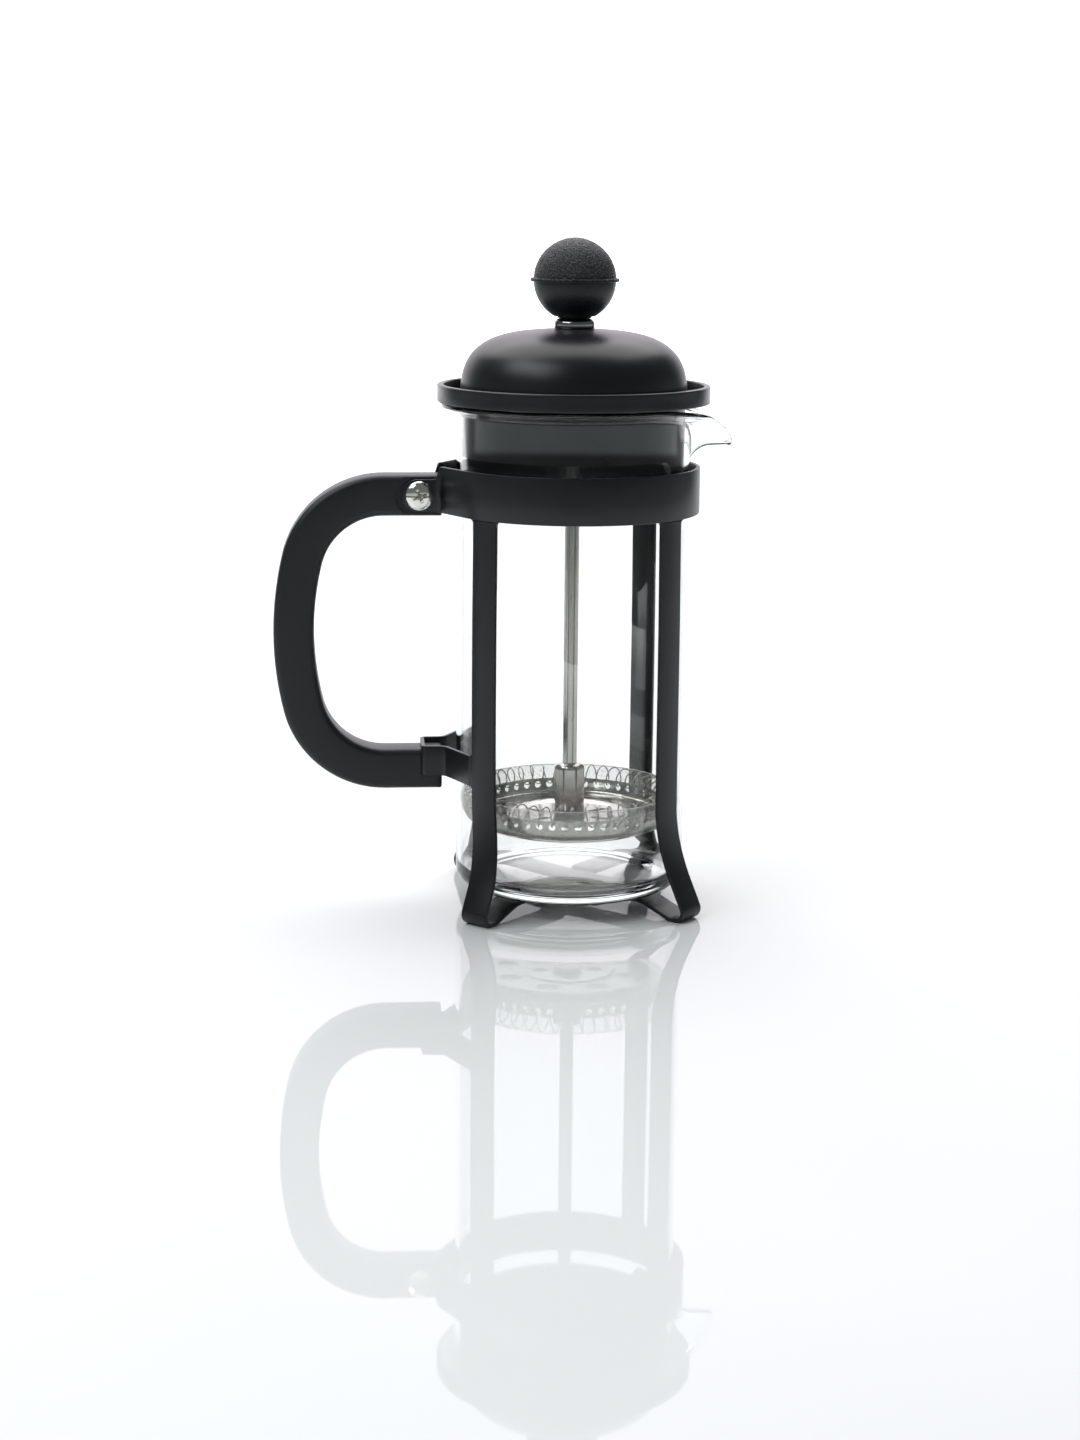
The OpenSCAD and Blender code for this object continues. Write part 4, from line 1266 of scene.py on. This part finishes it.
# --------------------------------------------------------------------------- stage, light and camera
def build_stage():
    xs = [-1.0, -0.75, -0.5, -0.25, 0.0, 0.25, 0.5, 0.75, 1.0]
    ys = [-0.46, -0.25, 0.0, 0.3, 0.8, 2.0, 5.0, 9.0]
    verts = [(x * (0.42 + 0.34 * (y + 0.46)), y, 0.0) for y in ys for x in xs]
    n = len(xs)
    faces = [(j * n + i, j * n + i + 1, (j + 1) * n + i + 1, (j + 1) * n + i) for j in range(len(ys) - 1) for i in range(n - 1)]
    me = bpy.data.meshes.new("table_top")
    me.from_pydata(verts, [], faces)
    ob = bpy.data.objects.new("table_top", me)
    ob.location = (0, 0, -0.00002)
    bpy.context.scene.collection.objects.link(ob)
    m, nt, b = new_mat("table_gloss", (0.93, 0.94, 0.94), 0.05, ior=1.45)
    v = coords(nt)
    n1 = noise(nt, v, 7, 3, 0.5)
    nt.links.new(mixc(nt, n1, (0.893, 0.922, 0.918), (0.943, 0.957, 0.960)), b.inputs["Base Color"])
    nt.links.new(remap(nt, noise(nt, v, 30, 3), 0.012, 0.032), b.inputs["Roughness"])
    # painted light: the sheet's sides, front edge and far end glow (emission) so that they melt into the white surround
    sep = nt.nodes.new("ShaderNodeSeparateXYZ")
    nt.links.new(v, sep.inputs["Vector"])

    def math_node(op, a, c=None, d=None):
        q = nt.nodes.new("ShaderNodeMath")
        q.operation = op
        for k, val in enumerate((a, c, d)):
            if val is None:
                continue
            if isinstance(val, (int, float)):
                q.inputs[k].default_value = val
            else:
                nt.links.new(val, q.inputs[k])
        return q.outputs[0]

    def step_up(src, lo, hi):
        r = nt.nodes.new("ShaderNodeMapRange")
        r.interpolation_type = "SMOOTHSTEP"
        r.inputs["From Min"].default_value = lo
        r.inputs["From Max"].default_value = hi
        nt.links.new(src, r.inputs["Value"])
        return r.outputs["Result"]

    half = math_node("MULTIPLY_ADD", sep.outputs["Y"], 0.34, 0.42 + 0.34 * 0.46)
    side = step_up(math_node("DIVIDE", math_node("ABSOLUTE", sep.outputs["X"]), half), 0.74, 0.98)
    front = step_up(math_node("MULTIPLY", sep.outputs["Y"], -1.0), 0.37, 0.455)
    far = step_up(sep.outputs["Y"], 0.7, 1.8)
    glow = math_node("MAXIMUM", math_node("MAXIMUM", side, front), far)
    # painted glow on the edges of the sheet
    nt.links.new(math_node("MULTIPLY", glow, 1.0), b.inputs["Emission Strength"])
    b.inputs["Emission Color"].default_value = (1.0, 1.0, 1.0, 1)
    me.materials.append(m)
    return ob


build_stage()


def world():
    w = bpy.data.worlds.new("studio")
    bpy.context.scene.world = w
    w.use_nodes = True
    nt = w.node_tree
    for n in list(nt.nodes):
        nt.nodes.remove(n)

    def smooth(src, lo, hi, a, b):
        r = nt.nodes.new("ShaderNodeMapRange")
        r.interpolation_type = "SMOOTHSTEP"
        r.inputs["From Min"].default_value = lo
        r.inputs["From Max"].default_value = hi
        r.inputs["To Min"].default_value = a
        r.inputs["To Max"].default_value = b
        nt.links.new(src, r.inputs["Value"])
        return r.outputs["Result"]

    out = nt.nodes.new("ShaderNodeOutputWorld")
    tc = nt.nodes.new("ShaderNodeTexCoord")
    sep = nt.nodes.new("ShaderNodeSeparateXYZ")
    nt.links.new(tc.outputs["Generated"], sep.inputs["Vector"])
    # a blown-out backdrop behind (+Y), a dim grey room in front and at the sides, dark between and below
    low = smooth(sep.outputs["Z"], -0.1045, -0.1010, 0.0, 0.54)
    fade = smooth(sep.outputs["Z"], 0.0, 0.16, 0.0, 0.54 - ROOM)
    table = smooth(sep.outputs["Z"], -0.62, -0.22, 0.40, 0.012)
    band = nt.nodes.new("ShaderNodeMath")
    band.operation = "SUBTRACT"
    nt.links.new(low, band.inputs[0])
    nt.links.new(fade, band.inputs[1])
    lift = nt.nodes.new("ShaderNodeMath")
    lift.operation = "ADD"
    nt.links.new(band.outputs[0], lift.inputs[0])
    nt.links.new(table, lift.inputs[1])
    level = lift.outputs[0]
    side = smooth(sep.outputs["Y"], 0.42, 0.56, 1.0, 0.08)
    room = nt.nodes.new("ShaderNodeMath")
    room.operation = "MULTIPLY"
    nt.links.new(level, room.inputs[0])
    nt.links.new(side, room.inputs[1])
    back = smooth(sep.outputs["Y"], 0.64, 0.88, 0.0, 1.0)
    stren = nt.nodes.new("ShaderNodeMix")
    stren.data_type = "FLOAT"
    nt.links.new(back, stren.inputs["Factor"])
    nt.links.new(room.outputs[0], stren.inputs["A"])
    stren.inputs["B"].default_value = 1.5
    tint = nt.nodes.new("ShaderNodeMix")
    tint.data_type = "RGBA"
    nt.links.new(back, tint.inputs["Factor"])
    tint.inputs["A"].default_value = (0.88, 0.98, 1.0, 1)
    tint.inputs["B"].default_value = (1.0, 0.96, 1.0, 1)
    lit = nt.nodes.new("ShaderNodeBackground")
    nt.links.new(tint.outputs["Result"], lit.inputs["Color"])
    nt.links.new(stren.outputs["Result"], lit.inputs["Strength"])
    seen = nt.nodes.new("ShaderNodeBackground")
    seen.inputs["Color"].default_value = (1, 1, 1, 1)
    seen.inputs["Strength"].default_value = 1.25
    lp = nt.nodes.new("ShaderNodeLightPath")
    mix = nt.nodes.new("ShaderNodeMixShader")
    # seen directly or straight through glass, the surround is white all round
    bounced = nt.nodes.new("ShaderNodeMath")
    bounced.operation = "SUBTRACT"
    nt.links.new(lp.outputs["Ray Depth"], bounced.inputs[0])
    nt.links.new(lp.outputs["Transmission Depth"], bounced.inputs[1])
    direct = nt.nodes.new("ShaderNodeMath")
    direct.operation = "LESS_THAN"
    nt.links.new(bounced.outputs[0], direct.inputs[0])
    direct.inputs[1].default_value = 1.5
    through = nt.nodes.new("ShaderNodeMath")
    through.operation = "MULTIPLY"
    nt.links.new(lp.outputs["Is Transmission Ray"], through.inputs[0])
    nt.links.new(direct.outputs[0], through.inputs[1])
    seen_any = nt.nodes.new("ShaderNodeMath")
    seen_any.operation = "MAXIMUM"
    nt.links.new(lp.outputs["Is Camera Ray"], seen_any.inputs[0])
    nt.links.new(through.outputs[0], seen_any.inputs[1])
    nt.links.new(seen_any.outputs[0], mix.inputs["Fac"])
    nt.links.new(lit.outputs["Background"], mix.inputs[1])
    nt.links.new(seen.outputs["Background"], mix.inputs[2])
    nt.links.new(mix.outputs["Shader"], out.inputs["Surface"])


ROOM = 0.14
world()


def area(name, loc, target, size, power, color=(1, 1, 1)):
    d = bpy.data.lights.new(name, "AREA")
    d.shape = "RECTANGLE"
    d.size, d.size_y = size
    d.energy = power
    d.color = color
    o = bpy.data.objects.new(name, d)
    o.location = loc
    o.rotation_euler = (Vector(target) - Vector(loc)).to_track_quat("-Z", "Y").to_euler()
    bpy.context.scene.collection.objects.link(o)
    return o


area("softbox_front", (-0.77, -0.40, 1.03), (0, 0, 0.16), (0.95, 0.50), 5.8, (0.97, 0.99, 1.0))
area("softbox_top", (0.0, 0.60, 1.27), (0, 0.05, 0.0), (2.0, 1.4), 21.5, (1.0, 0.99, 1.0))

ALPHA, D, H, FPX, YAW, PITCH, ROLL = 0.0925, 0.78275, 0.2181, 2602.43, -0.0118, 0.2050, 0.0087


def build_camera():
    cy, sy, cp, sp = math.cos(YAW), math.sin(YAW), math.cos(PITCH), math.sin(PITCH)
    F = Vector((sy * cp, cy * cp, -sp))
    R = Vector((cy, -sy, 0))
    U = R.cross(F)
    R2 = R * math.cos(ROLL) + U * math.sin(ROLL)
    U2 = -R * math.sin(ROLL) + U * math.cos(ROLL)
    rot = Matrix((R2, U2, -F)).transposed().to_4x4()
    M = Matrix.Rotation(-ALPHA, 4, "Z") @ Matrix.Translation((0, -D, H)) @ rot
    cam = bpy.data.cameras.new("camera")
    cam.sensor_fit = "AUTO"
    cam.sensor_width = 36.0
    cam.lens = FPX / 1440 * 36.0
    cam.clip_start = 0.01
    ob = bpy.data.objects.new("camera", cam)
    ob.matrix_world = M
    bpy.context.scene.collection.objects.link(ob)
    bpy.context.scene.camera = ob


build_camera()
bpy.context.scene.view_settings.view_transform = "Standard"
bpy.context.scene.view_settings.look = "None"
